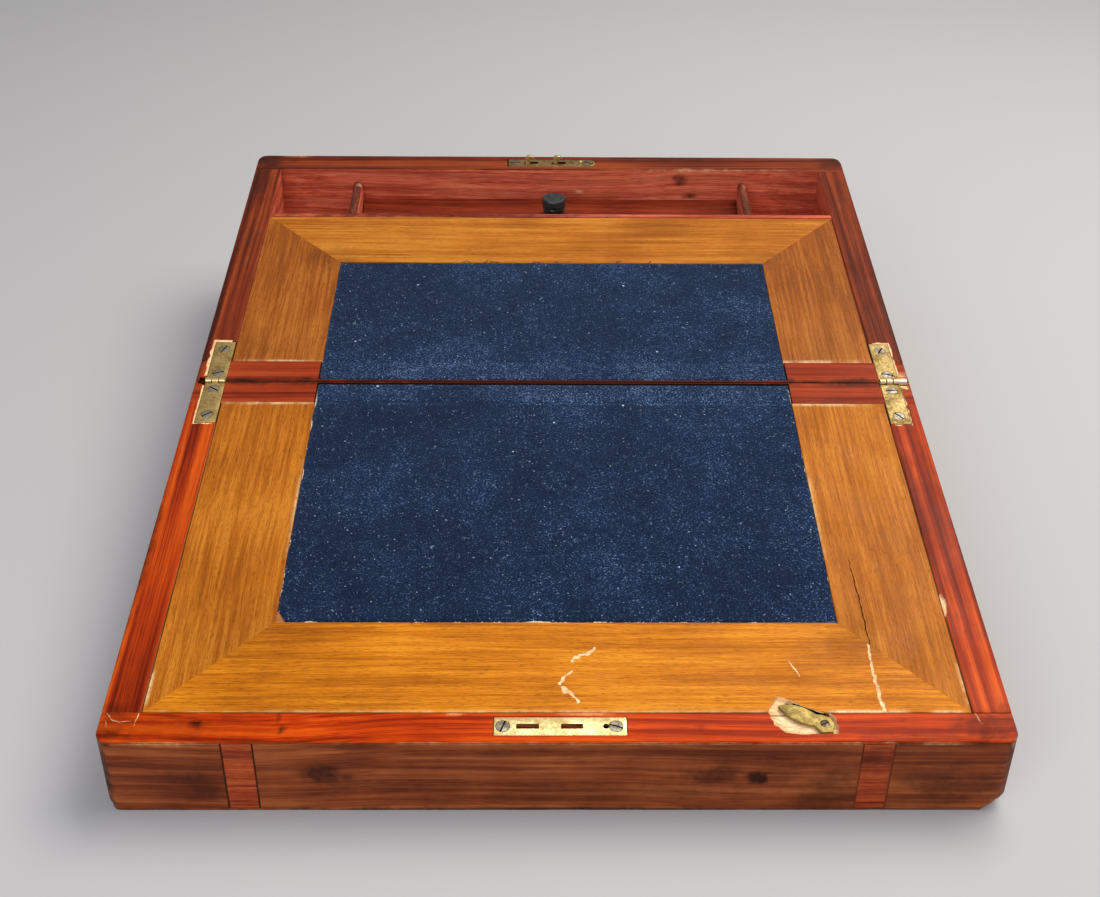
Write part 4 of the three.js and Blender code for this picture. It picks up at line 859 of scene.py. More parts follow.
def hinge_beds(side, half, seed, inner):
    """What one half loses to one hinge: the leaf's bed, the barrel's notch and a ragged bare edge round them."""
    x = both(inner, LEAF_X[1] + 0.25, side)
    v = sorted((-0.5 * half, half * (LEAF_LENGTH + 0.3)))
    bed = block((x[0], v[0], BED), (x[1], v[1], 6), dark_wood)
    barrel = both(inner, BARREL_END[side] + 0.3, side)
    notch = across_hinge(turned("notch", [(0, barrel[0]), (KNUCKLE + 0.35, barrel[0]), (KNUCKLE + 0.35, barrel[1]),
                                          (0, barrel[1])], 24, [dark_wood]))
    lost = {(-1, 1): 1.5, (-1, -1): 1.0, (1, 1): 0.9, (1, -1): 0.5}[side, half]
    x = both(INNER_X + 2, LEAF_X[1] + lost, side)
    v = sorted((half * 4, half * (LEAF_LENGTH + 0.3 + lost * 0.8)))
    chip = plate("chip", ragged(box_outline(*x, *v), 6, 0.55, seed, 0.8), RIM - 0.3, 4, 0, [raw_wood])
    cuts = [move_mesh(chip, from_slope), bed, notch]
    if side < 0:
        x = -LEAF_X[1] - 1.5
        hole = ragged(box_outline(x - 1.6, x + 2.2, -2.6, 2.4), 3, 0.5, seed + 9, 0.7)
        cuts.append(move_mesh(plate("hole", hole, RIM - 1.4, 4, 0, [dark_wood]), from_slope))
    else:
        x = BARREL_END[1]
        torn = ragged(box_outline(x - 7, x + 0.4, *sorted((half * 1.2, half * 4.6))), 4, 0.8, seed + 9, 0.7)
        cuts.append(move_mesh(plate("torn", torn, RIM - 0.7, 4, 0, [raw_wood]), from_slope))
    return cuts


def wall_faces(side, half):
    """Chooses a wall's face materials: 0 the polished rim, 1 the veneered outside and edge, 2 the plain inside."""
    def choose(centres, normals):
        slots = np.full(len(centres), 2)
        out = normals[:, 0] * side if side else normals[:, 1] * half
        slots[out > 0.45] = 1
        if not side:
            slots[np.abs(normals[:, 0]) > 0.6] = 1
        slots[normals[:, 2] < -0.4] = 1
        slots[(normals[:, 2] > 0.5) | ((slots == 1) & (centres[:, 2] > rim_z(centres[:, 1]) - 0.8))] = 0
        return slots
    return choose


def board_edges(half, side=None):
    """How a wall's outer edges are rounded: the lock-side corners in plan, and the lid's long edges underneath."""
    radius = 6.0 if half > 0 else 5.0
    def shape(points):
        for s in (-1, 1) if side is None else (side,):
            if side is None:
                points = rounded(points, (0, 1), (s * (HALF_WIDTH - radius), half * (HALF_DEPTH - radius)), (s, half))
            if half < 0:
                points = rounded(points, (0, 2), (s * (HALF_WIDTH - 4.5), 4.5), (s, -1))
        if half < 0:  # the lid's right lock-side corner is knocked off
            slant = np.array([1.0, -0.6, -1.0]) / 1.536
            past = points @ slant - 297 / 1.536 + 0.5 * soft_noise(points, 6, 91)
            points = points - slant * np.maximum(past, 0)[:, None]
        return points
    return shape


def upright_board(name, x, y, materials, choose, steps, shape=None, wear=0.3, seed=1, floor=0.0):
    """A wall: a rounded slab whose top follows the rim, heights scaled by rim(y) over the slab's own height."""
    top = rim_z(max(y))
    points, quads, normals = slab_surface((x[0], y[0], floor), (x[1], y[1], top), 0.5, steps)
    points = edge_wear(points, normals, wear, 22, seed)
    points[:, 2] = floor + (points[:, 2] - floor) * (rim_z(points[:, 1]) - floor) / (top - floor)
    if shape:
        points = shape(points)
    piece = mesh_piece(name, points, quads, materials)
    pick_faces(piece, choose)
    return piece


def plain_board(name, low, high, material, steps=(6, 6, 3), radius=0.4, slope=False):
    """A plain sawn board with broken edges; on the slope its ends stay upright, v moved on by w x rise."""
    points, quads, normals = slab_surface(low, high, radius, steps)
    points = edge_wear(points, normals, 0.15, 12, 7)
    if slope:
        points = from_slope(points + np.outer(points[:, 2] * RISE, (0, 1, 0)))
    return mesh_piece(name, points, quads, [material])


def lock_outline(grow=0.0):
    """The lock plate's outline: square at the left, a half circle at the right."""
    low, high = span("lock_plate")
    a = np.linspace(-math.pi / 2, math.pi / 2, 17)
    curve = np.stack([high[0] - 4.2 + (4.2 + grow) * np.cos(a), LOCK_V + (4.2 + grow) * np.sin(a)], axis=1)
    left = low[0] - 2 * grow
    return np.vstack([[(left, LOCK_V - 4.2 - grow)], curve, [(left, LOCK_V + 4.2 + grow)]])


def lock_beds():
    """The lock plate's bed in the high rim, the mortise under it, and the escutcheon's bed and keyhole."""
    bed = move_mesh(plate("bed", lock_outline(0.35), BED, 6, 0, [dark_wood]), from_slope)
    mortise = block((-17, LOCK_V - 3.4, -22), (19, LOCK_V + 3.4, 0), dark_wood)
    oval = plate("bed", oval_outline(6.25, 10.25), HALF_DEPTH - 1.6, HALF_DEPTH + 4, 0, [dark_wood])
    key = plate("key", key_outline(0.2), HALF_DEPTH - 12, HALF_DEPTH + 4, 0, [dark_wood])
    chipped = [(-46, -8.6), (-38, -7.2), (-24, -7.6), (-8, -7.3), (6, -7.4), (22, -7.1), (34, -7.8), (40, -8.8),
               (40, -12), (-46, -12)]
    chip = ragged([(x, LOCK_V + v) for x, v in chipped], 5, 0.35, 61, 1.0)
    return [move_mesh(plate("chip", chip, RIM - 0.25, 4, 0, [raw_wood]), from_slope), bed, mortise,
            move_mesh(oval, facing_out), move_mesh(key, facing_out)]


def facing_out(points):
    """Stands a plate made flat upright in the base's outer lock-side face, round the keyhole."""
    return np.stack([KEYHOLE[0] - points[:, 0], points[:, 2], KEYHOLE[2] + points[:, 1]], axis=1)


def oval_outline(a, b):
    """An ellipse's outline, anticlockwise."""
    t = np.linspace(0, 2 * math.pi, 48, endpoint=False)
    return np.stack([a * np.cos(t), b * np.sin(t)], axis=1)


def key_outline(grow=0.0):
    """A keyhole's outline: a round with a slot hanging from it, anticlockwise."""
    r, half = 2 + grow, 1 + grow
    t = np.linspace(-math.pi / 2 + math.asin(half / r), 1.5 * math.pi - math.asin(half / r), 24)
    return np.vstack([np.stack([r * np.cos(t), 2 + r * np.sin(t)], axis=1), [(-half, -5 - grow), (half, -5 - grow)]])


def strike_beds():
    """The strike plate's bed in the low rim, and the mortise that takes the hooks."""
    low, high = span("strike_plate")
    bed = block((low[0] - 0.2, -LOCK_V - 4.55, BED), (high[0] + 0.2, -LOCK_V + 4.55, 6), rim_wood)
    return [bed, block((-17, -LOCK_V - 2.2, -7), (13.5, -LOCK_V + 2.2, 0), trough_wood_painted_light),
            block((STUD_X - 1.4, -LOCK_V - 1.4, -5), (STUD_X + 1.4, -LOCK_V + 1.4, 0), dark_wood)]


def latch_recess():
    """The latch's recess, hacked out by hand: pale inside, wide below the blade and close above it."""
    rough = [(-20.8, 6.6), (-20.9, 4.2), (-19.4, -0.8), (-15.8, -4.4), (-10.8, -5.4), (-2.5, -5.2), (4.2, -5.0),
             (4.9, -1.0), (4.4, 2.8), (2.2, 5.0), (-2, 6.4), (-7.5, 9.0), (-12.9, 11.9), (-14.6, 13.2), (-16.6, 13.3),
             (-19.0, 10.2)]
    outline = ragged([LATCH_PIVOT + p for p in rough], 4, 0.35, 83, 0.7)
    return move_mesh(plate("recess", outline, -2.15, 6, 0, [raw_wood]), from_slope)


def latch_score_and_shadow():
    """A line scored in the recess's floor along the blade's upper edge, lined with dark wood as a painted shadow."""
    path = [LATCH_PIVOT + p for p in ((-13.6, 11.2), (-7.4, 9.0), (-2.0, 6.3), (2.4, 4.6))]
    return groove("shadowed_score", path, [0.5, 0.8, 0.7], 0.35, dark_wood, -2.15, 97)


def band_grooves(half):
    """The grooves that the bands lie in, across the lock-side face and, on the lid, on over its top."""
    top = rim_z(half * HALF_DEPTH) - 1.15
    y = sorted((half * (HALF_DEPTH - 0.22), half * (HALF_DEPTH + 2)))
    cuts = [block((-HALF_WIDTH + 2, y[0], top + 0.02), (HALF_WIDTH - 2, y[1], top + 0.3), dark_wood, slope=False)]
    for side in (-1, 1):
        x = (side * BAND_X - 6.3, side * BAND_X + 6.3)
        y = sorted((half * (HALF_DEPTH - 1.2), half * (HALF_DEPTH + 4)))
        cuts.append(block((x[0], y[0], 1.4), (x[1], y[1], top), dark_wood, slope=False))
    return cuts


def top_groove(side):
    """The groove of one band over the lid's top."""
    return block((side * BAND_X - 6.3, -HALF_DEPTH + 4.4, -3), (side * BAND_X + 6.3, 1, 1.3), dark_wood, slope=False)


def corner_lines():
    """Pale lines in the low rim: where its ends meet the side boards, and scratches at the left corner."""
    paths = [([(-160.6, -206.2), (-161.2, -212.4)], [0.3, 0.45, 0.2]),
             ([(160.8, -206.2), (162.2, -211.6)], [0.4, 0.7, 0.3]),
             ([(-172.8, -206.4), (-170.6, -209.4), (-167, -210.7), (-162.6, -210.2)], [0.25, 0.5, 0.3]),
             ([(-172.6, -209.8), (-171.2, -213.0)], [0.2, 0.4, 0.2])]
    return [groove("line", [(x, along(y)) for x, y in path], widths, 0.2, raw_wood, RIM, 101 + i)
            for i, (path, widths) in enumerate(paths)]


def splinters(side, half):
    """Splinters lost from the inner top edge of the lid's right rail."""
    if (side, half) != (1, -1):
        return []
    middle = along(-149)
    outline = ragged([(159.4, middle - 8), (160.9, middle - 5), (161.9, middle + 1), (160.9, middle + 6),
                      (159.4, middle + 7)], 4, 0.4, 71, 0.8)
    return [move_mesh(plate("splinter", outline, RIM - 0.9, 4, 0, [raw_wood]), from_slope)]


# soft marks: (centre, radii, strength), in mm. The dark marks are stains, except the long lines on the hinge line (y
# about 0, height 63), which are painted shadow in the crease between the halves, and the line along the lid's foot
# (height 0.6), which is a painted shadow where it stands on the floor.
NEAR = rim_z(-213)
STAINS_AND_SHADE = {1: [((-172, 214, 89), (16, 14, 9), 0.75), ((172, 214, 89), (12, 12, 9), 0.65),
              ((-171, 190, 86), (7, 34, 6), 0.5), ((-168, 120, 78), (5, 60, 5), 0.3),
              ((-60, 219, 89), (60, 3, 4), 0.4), ((70, 219, 89), (50, 3, 4), 0.5),
              ((-175, 60, 68), (2.5, 130, 10), 0.75), ((175, 90, 71), (2.5, 130, 10), 0.65),
              ((-150, 1, 63), (20, 1.5, 4), 1.0), ((168, 110, 77), (9, 110, 12), 0.28),
              ((150, 204, 76), (22, 3, 16), 0.25), ((148, 1, 63), (18, 2.5, 4), 1.0),
              ((0, 0, 63), (240, 1.7, 5), 1.0), ((-140, 0, 63), (36, 2.2, 4), 0.45),
              ((130, 0, 63), (24, 3.4, 4), 0.45), ((60, 219, 60), (50, 4, 30), 0.35),
              ((-110, 219, 40), (40, 4, 30), 0.3), ((170, 180, 85), (4, 40, 4), 0.4),
              ((78, 204, 82), (4.5, 2, 5), 0.7), ((85, 204, 72), (7, 2, 1.1), 1.1), ((0, 1, 63), (130, 3, 4), 1.6)],
          -1: [((-137.8, -211.5, NEAR), (2.6, 2.2, 3), 1.1), ((-105, -214, NEAR), (2.0, 2.4, 3), 0.85),
               ((-107, -209, NEAR), (1.2, 4, 3), 0.6), ((-170, -217, NEAR), (10, 3.5, 5), 0.7),
               ((-170, -205, NEAR + 1), (8, 5, 5), 0.5), ((-171.5, -220, 35.4), (4, 2, 1.6), 1.2),
               ((-150, -213, NEAR), (42, 9, 5), 0.32), ((-168, -212, NEAR), (8, 9, 5), 0.5),
               ((166, -213, NEAR), (17, 10, 5), 0.75), ((142, -214, NEAR), (28, 8, 5), 0.22),
               ((168, -110, 52), (9, 110, 12), 0.36), ((172, -210, NEAR), (9, 12, 4), 0.6),
               ((140, -218, NEAR), (34, 2.5, 3), 0.5), ((158, -213, NEAR), (16, 5, 3), 0.4),
               ((54, -213, NEAR), (2, 2, 3), 0.5), ((153, -213, NEAR), (2, 1.4, 3), 0.9),
               ((133, -210, NEAR), (1.4, 1.2, 3), 0.9), ((-174.6, -110, 48), (1.8, 120, 7), 0.8),
               ((175, -110, 48), (1.8, 120, 7), 0.7), ((76.5, -220, 18.8), (5.5, 3, 5.5), 1.2),
               ((60, -220, 19.4), (15, 3, 7), 0.65), ((84, -220, 21), (12, 3, 9), 0.4),
               ((-90, -220, 19.5), (11, 3, 6), 0.85), ((-74, -220, 14), (26, 3, 4), 0.4),
               ((-138, -220, 12), (8, 3, 10), 0.5), ((-148, -220, 18), (7, 3, 5), 0.35),
               ((20, -220, 10), (60, 3, 6), 0.35), ((105, -220, 12), (14, 3, 14), 0.5),
               ((150, -220, 14), (24, 3, 12), 0.55), ((40, -220, 31), (90, 3, 3.5), 0.3),
               ((-173.5, -219, 18), (2.4, 4, 22), 0.9), ((174.5, -219, 22), (2.4, 4, 20), 0.55),
               ((0, -220, 0.6), (190, 3, 1.2), 0.9), ((-150, -1, 63), (20, 1.5, 4), 1.0),
               ((148, -1, 63), (18, 2.5, 4), 1.0), ((0, 0, 63), (240, 1.7, 5), 1.0),
               ((-140, 0, 63), (36, 2.2, 4), 0.45), ((130, 0, 63), (24, 3.4, 4), 0.45),
               ((0, -1, 63), (130, 3, 4), 1.6)],}
RUBBED = {1: [((-150, 219.5, 90), (10, 1.5, 1), 0.5), ((100, 205, 87.7), (60, 1, 1), 0.35),
              ((172, 5, 64), (4, 4, 2), 0.8), ((18, 204, 74), (3, 2, 0.8), 0.8)],
          -1: [((-150, -220, 35.8), (24, 1.2, 0.8), 0.75), ((40, -220, 35.9), (60, 1.2, 0.6), 0.5),
               ((146, -220, 35.9), (10, 1.2, 0.8), 0.7), ((174.5, -219.5, 35), (1.6, 2, 3), 0.9),
               ((171, -219, 4), (4, 2, 3), 0.45), ((174.6, -219, 14), (0.8, 1.6, 8), 0.4),
               ((-30, -220, 36.0), (50, 1.0, 0.6), 0.45), ((100, -220, 36.0), (30, 1.0, 0.6), 0.55),
               ((12, -206.3, NEAR + 1), (14, 0.7, 1), 0.55), ((-40, -206.3, NEAR + 1), (3, 0.8, 1), 0.6)],}


def build_walls():
    """The four walls of each half, with their beds, mortises, grooves and worn edges."""
    hinge_end = HINGE_WALL + 0.13
    for body, half in HALVES:
        rim, inside = (dark_rim_wood, trough_wood_painted_light) if half > 0 else (rim_wood, plain_wood)
        materials = [rim, walnut, inside]
        inner = BASE_INNER_Y if half > 0 else LID_INNER_Y
        top_grooves = [] if half > 0 else [(side, top_groove) for side in (-1, 1)]
        name = "base_back_wall" if half > 0 else "lid_front_wall"
        y = sorted((half * inner, half * HALF_DEPTH))
        lock_wall = upright_board(name, (-HALF_WIDTH, HALF_WIDTH), y, materials, wall_faces(0, half), (1.5, 1.3, 1.5),
                                  board_edges(half), seed=5 + half)
        cuts = lock_beds() if half > 0 else [*strike_beds(), latch_recess(), latch_score_and_shadow(), *corner_lines()]
        cut_away(lock_wall, [*cuts, *band_grooves(half), *(make(side) for side, make in top_grooves)])
        dress(lock_wall, half, body, name, "x", 1.0 + half)
        name = f"{body}_hinge_wall"
        y = sorted((half * 0.3, half * hinge_end))
        hinge_wall = upright_board(name, (-HALF_WIDTH, HALF_WIDTH), y, [strip_wood, walnut, plain_wood],
                                   wall_faces(0, -half), (1.5, 1.2, 3), board_edges(half, None) if half < 0 else None,
                                   wear=0.2, seed=11 + half)
        v = sorted((half * (along(VELVET_START) - 0.3), half * along(HINGE_WALL + 6)))
        strip_bed = block((-VELVET_X - 0.4, v[0], -1.5), (VELVET_X + 0.4, v[1], 6), dark_wood)
        beds = [cut for side in (-1, 1) for cut in hinge_beds(side, half, 31 + side + 2 * half, INNER_X + 0.12)]
        cut_away(hinge_wall, [*beds, strip_bed, *(make(side) for side, make in top_grooves)])
        dress(hinge_wall, half, body, name, "x", 3.3 + half)
        for label, side in SIDES:
            name = f"{body}_{label}_wall"
            x = both(INNER_X, HALF_WIDTH, side)
            y = sorted((half * hinge_end, half * inner))
            own = [rim if half > 0 else rail_wood, walnut, inside]
            board = upright_board(name, x, y, own, wall_faces(side, half), (1.3, 1.6, 2.2), board_edges(half, side),
                                  wear=0.35, seed=21 + side + 2 * half)
            cut_away(board, hinge_beds(side, half, 31 + side + 2 * half, INNER_X - 1) + splinters(side, half))
            dress(board, half, body, name, "rail", 5.1 + half + 0.37 * side)


def dress(board, half, body, name, grain, shift):
    """Paints a wall's stains, painted shade and rubbed places and puts it in the frame."""
    mark(board, "stain_and_shade", STAINS_AND_SHADE[half], 3 + half)
    mark(board, "worn", RUBBED[half], 13 + half)
    set_up(board, body, [name], grain, shift)


def build_bands():
    """The inlaid bands: cross-grained wood between two dark strings, in the lock-side faces and the lid's top."""
    def strips(name, x, low, high, axis, strings):
        """Three strips side by side, from low to high; axis is the way that they run."""
        parts = []
        for x0, x1, material in ((x - 6.2, x - 5.65, strings), (x - 5.62, x + 5.62, banding),
                                 (x + 5.65, x + 6.2, strings)):
            points, quads, _ = slab_surface((x0, low[0], low[1]), (x1, high[0], high[1]), 0.12, (0.9, 2, 2))
            part = mesh_piece("strip", points, quads, [material])
            lay_grain(part, "x" if material is banding else axis, x / 400 + 2.7)
            parts.append(part)
        return joined(name, parts)

    for body, half in HALVES:
        face = "back" if half > 0 else "front"
        for label, side in SIDES:
            name = f"{body}_{face}_band_{label}"
            y = sorted((half * (HALF_DEPTH - 1.15), half * (HALF_DEPTH - 0.03)))
            top = rim_z(half * HALF_DEPTH) - 1.2
            strings = stringing if side < 0 else faded_stringing
            band = strips(name, side * BAND_X, (y[0], 1.45), (y[1], top), "z", strings)
            mark(band, "stain_and_shade", BAND_STAINS, 17)
            set_up(band, body, [name])
    for label, side in SIDES:
        name = f"lid_top_band_{label}"
        band = strips(name, side * BAND_X, (-HALF_DEPTH + 4.5, 0.03), (-0.35, 1.2), "y", stringing)
        set_up(band, "lid", [name])


BAND_STAINS = [((121.7, -220, 27.5), (8, 4, 10.5), 0.55), ((-121.7, -220, 29.6), (8, 4, 0.5), 0.9),
               ((-121.7, -220, 20), (8, 4, 0.4), 0.6)]


# ------------------------------------------------------------------ flaps
def veneer(name, corners, top, thickness, material):
    """A sheet of veneer: a thin slab stretched over four corners by s and t, its shares of length and width:
    (1-s)(1-t) A + s(1-t) B + st C + (1-s)t D."""
    a, b, c, d = (np.array(corner, float) for corner in corners)
    length, width = np.linalg.norm(b - a), np.linalg.norm(d - a)
    points, quads, _ = slab_surface((0, 0, top - thickness), (length, width, top), 0.1, (2.2, 2.2, 1))
    s, t = points[:, :1] / length, points[:, 1:2] / width
    flat = (1 - s) * (1 - t) * a + s * (1 - t) * b + s * t * c + (1 - s) * t * d
    heights = points[:, 2] + 0.05 * soft_noise(flat, 45, 4) * (points[:, 2] > top - 0.05)
    flat[:, 1] += heights * RISE
    return mesh_piece(name, from_slope(np.column_stack([flat, heights])), quads, [material])


def build_flaps():
    """Each flap: a board, and over it mitred borders of veneer round the velvet."""
    for body, half in HALVES:
        flap = f"{body}_flap"
        x1 = INNER_X - 0.5
        seam, end = half * along(SEAM_Y + 0.15), half * along(abs(span(flap)[1][1] if half > 0 else span(flap)[0][1]))
        velvet_end = half * along(VELVET_END[half])
        v = sorted((seam, end))
        board = plain_board(f"{flap}_board", (-x1, v[0], -6.5), (x1, v[1], -1.12), back_wood, steps=(4, 4, 2),
                            slope=True)
        if half < 0:
            cut_away(board, [latch_recess(), latch_score_and_shadow()])
        set_up(board, flap, [flap], "x", 8.2 + half)
        runs = {"left": [(-x1, seam), (-VELVET_X, seam), (-VELVET_X, velvet_end), (-x1, end)],
                "right": [(VELVET_X, seam), (x1, seam), (x1, end), (VELVET_X, velvet_end)],
                "end": [(-VELVET_X, velvet_end), (VELVET_X, velvet_end), (x1, end), (-x1, end)]}
        for place, corners in runs.items():
            if half < 0:
                corners = [corners[i] for i in (3, 2, 1, 0)]
            finish = (shaded_far_flap_wood, shaded_far_side_wood) if half > 0 else (flap_wood, shaded_flap_side_wood)
            border = veneer(f"{flap}_veneer_{place}", corners, FLAP_TOP, 0.6, finish[place != "end"])
            cuts = FLAP_CUTS.get((half, place), lambda: [])()
            if cuts:
                cut_away(border, cuts)
            mark(border, "stain_and_shade", FLAP_STAINS, 23)
            mark(border, "worn", FLAP_RUBBED, 29)
            set_up(border, flap, [], "x" if place == "end" else "slope", 9.7 + half + 0.41 * len(place))


VELVET_END = {1: span("base_flap_velvet")[1][1], -1: -span("lid_flap_velvet")[0][1]}
FLAP_CUTS = {(-1, "right"): lambda: [groove("crack",
                                            [(125.2, along(-122)), (125.9, along(-146)), (126.2, along(-170)),
                                             (125.6, along(-176))], [0.25, 0.5, 0.35], 0.5, dark_wood, FLAP_TOP, 41)],
             (-1, "end"): lambda: [latch_recess(),
                                   groove("crack", [(125.4, along(-166)), (125.0, along(-186)),
                                                    (126.0, along(-205.3))], [0.8, 1.1, 1.5, 1.9], 0.4, raw_wood,
                                          FLAP_TOP, 43), groove("scratch",
                                                                [(15.2, along(-172.2)), (12.3, along(-176.0)),
                                                                 (8.3, along(-177.0)), (5.4, along(-180.1))],
                                                                [0.8, 2.3, 2.1, 1.0], 0.25, raw_wood, FLAP_TOP, 45,
                                                                0.9), groove("scratch",
                                                                             [(6.1, along(-184.2)),
                                                                              (2.1, along(-188.4)),
                                                                       (0.9, along(-191.9))], [0.7, 1.3, 1.7], 0.25,
                                                                       raw_wood, FLAP_TOP, 46, 0.9),
                                   groove("scratch", [(1.2, along(-192.6)), (4.7, along(-195.9)),
                                                      (8.1, along(-200.9))], [2.4, 1.9, 0.9], 0.25, raw_wood,
                                          FLAP_TOP, 47, 0.9), groove("scratch",
                                                                     [(92.0, along(-179.0)), (93.9, along(-182.6)),
                                                                      (95.7, along(-187.3))], [0.3, 0.7, 0.4], 0.2,
                                                                     raw_wood, FLAP_TOP, 48)],}
FLAP_STAINS = [((-120, -165, 43), (30, 30, 4), 0.2), ((118, -166, 43), (16, 16, 4), 0.25),
               ((-118, 110, 76), (14, 14, 4), 0.25), ((118, 110, 76), (14, 14, 4), 0.25),
               ((60, 140, 80), (40, 10, 4), 0.15), ((140, 30, 67), (14, 14, 4), 0.2),
               ((-150, 30, 67), (8, 20, 4), 0.25)]
FLAP_RUBBED = [((118, -205.4, 38.6), (16, 0.8, 2), 0.9), ((150, -205.4, 38.6), (8, 0.6, 2), 0.5),
               ((0, -205.5, 38.6), (150, 0.4, 1), 0.3), ((159.2, -190, 40.6), (0.5, 16, 2), 0.6),
               ((-159.3, -196, 40), (0.7, 10, 2), 0.8), ((115.2, -90, 52), (0.7, 70, 4), 0.45),
               ((-115.2, -90, 52), (0.7, 70, 4), 0.4), ((120, 16.6, 65.3), (40, 0.5, 1), 0.5),
               ((-130, 16.6, 65.3), (30, 0.5, 1), 0.6), ((-130, -16.6, 61.3), (30, 0.5, 1), 0.6),
               ((130, -16.6, 61.3), (30, 0.5, 1), 0.6)]


# ------------------------------------------------------------------ velvet
def build_velvet():
    """One piece of velvet on each half, glued over the fixed strip and on over the flap's seam.

    The surface is a grid of x and v. Its height w is the pile's top, less a short fall to the ground round the edge
    (smooth in the distance e from the edge), less a crease over the seam, plus slow and fine noise.
    """
    for body, half in HALVES:
        v0, v1 = along(VELVET_START), along(VELVET_END[half])
        s, t = np.meshgrid(np.linspace(-1, 1, 190), np.linspace(0, 1, 130 if half > 0 else 180))
        s, t = s.ravel(), t.ravel()
        v = v0 + (v1 - v0) * t
        far = smooth_step((t - 0.9) / 0.1)
        reach = VELVET_X + 0.16 * soft_noise(np.stack([np.sign(s) * 900, v], 1), 16,
                                             5) * smooth_step(np.abs(s) * 8 - 7)
        v = v + far * 0.22 * soft_noise(np.stack([s * VELVET_X, v * 0 + half * 70], 1), 11, 8)
        if half < 0:  # the near left corner is worn round
            corner = np.clip((-s - 0.965) / 0.035, 0, 1) * np.clip((t - 0.955) / 0.045, 0, 1)
            v, reach = v - 2.6 * corner, reach - 2.6 * corner
        x = s * reach
        edge = np.minimum((1 - np.abs(s)) * VELVET_X, np.minimum(t, 1 - t) * (v1 - v0))
        place = np.stack([x, v * half], axis=1)
        w = VELVET_TOP - 0.12 - 0.75 * smooth_step(1 - edge / 1.1) - 0.14 * np.exp(-((v - along(SEAM_Y)) / 0.8) ** 2)
        w += (0.09 * soft_noise(place, 26, 6) + 0.05 * soft_noise(place, 6, 7)) * smooth_step(edge / 2)
        rows, columns = (130 if half > 0 else 180), 190
        i = np.arange(rows * columns).reshape(rows, columns)
        quads = np.stack([i[:-1, :-1], i[:-1, 1:], i[1:, 1:], i[1:, :-1]], axis=-1).reshape(-1, 4)
        quads = quads if half > 0 else quads[:, ::-1]
        piece = mesh_piece(f"{body}_velvet", from_slope(np.column_stack([x, v * half, w])), quads, [velvet],
                           smooth_angle=80)
        store(piece, "cloth", np.column_stack([x, v * half, w * 0]) * MM)
        strip = smooth_step((along(SEAM_Y) - v) / 1.5)  # the fixed strip is rubbed paler than the flap's
        wear_and_left_shade = 0.05 * strip + 0.025 * np.exp(-((v - along(SEAM_Y) - 6) / 7) ** 2) * (half > 0)
        # painted shade: the pile's tone is lowered towards the left side, as the light falls from the right
        wear_and_left_shade += 0.016 * soft_noise(place, 60, 14) - 0.02 * smooth_step(0.9 - x / VELVET_X - 0.8) - 0.02
        crease = np.exp(-((v - along(SEAM_Y) - 0.9) / 0.7) ** 2) * (0.5 + 0.5 * soft_noise(place, 30, 19))
        store(piece, "rubbed", wear_and_left_shade + (0.12 if half < 0 else 0.05) * crease)
        gone = np.zeros_like(x)
        if half < 0:
            near = smooth_step(1 - (1 - t) * (v1 - v0) / 1.0) * np.clip(0.45 + 0.4 * soft_noise(place, 18, 16)
                                                                    + 0.5 * np.exp(-((x - 15) / 60) ** 2), 0, 1)
            side = smooth_step(1 - (1 - np.abs(s)) * VELVET_X / 0.7) * np.clip(0.35 + 0.5 * soft_noise(place, 14, 18),
                                                                               0, 1)
            gone = np.maximum(near, side)
        store(piece, "bare", gone)
        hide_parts(f"{body}_flap_velvet", f"{body}_velvet_strip")
        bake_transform(piece)


def build_threads():
    """Threads worked loose from the velvet's ends: fine tubes round paths that wander from their root and rise a
    little."""
    for body, half, roots in (("base", 1, [(-44, 9), (-37, 7), (-29, 8), (-6, 5), (4, 4), (36, 6), (52, 5)]),
                              ("lid", -1, [(20, 4), (-60, 3)])):
        parts = []
        for k, (x, length) in enumerate(roots):
            rng = np.random.default_rng(500 + k + 20 * half)
            t = np.linspace(0, 1, 26)
            turn = np.cumsum(rng.normal(0, 0.5, 26)) + rng.uniform(0, 2 * math.pi)
            step = length / 25
            line = np.stack([x + np.cumsum(np.cos(turn)) * step,
                             half * (along(VELVET_END[half]) - 0.4) + half * np.abs(np.cumsum(np.sin(turn)) * step)
                             * 0.45, FLAP_TOP + 0.15 + 0.7 * np.sin(t * math.pi) ** 2 * rng.uniform(0.3, 1)], axis=1)
            parts.append(tube("thread", line, 0.13, 6, [thread]))
        piece = joined(f"{body}_velvet_threads", parts)
        set_up(piece, f"{body}_flap", [])


def tube(name, line, radius, sides, materials):
    """A round tube along a line in slope coordinates, closed at both ends."""
    tangent = np.gradient(line, axis=0)
    tangent /= np.linalg.norm(tangent, axis=1, keepdims=True)
    side = np.cross(tangent, (0, 0, 1))
    side /= np.linalg.norm(side, axis=1, keepdims=True)
    up = np.cross(side, tangent)
    a = np.linspace(0, 2 * math.pi, sides, endpoint=False)
    rings = line[:, None] + radius * (np.cos(a)[:, None] * side[:, None] + np.sin(a)[:, None] * up[:, None])
    faces = stacked(sides, len(line))
    return mesh_piece(name, from_slope(rings.reshape(-1, 3)), [ring[::-1] for ring in faces], materials)


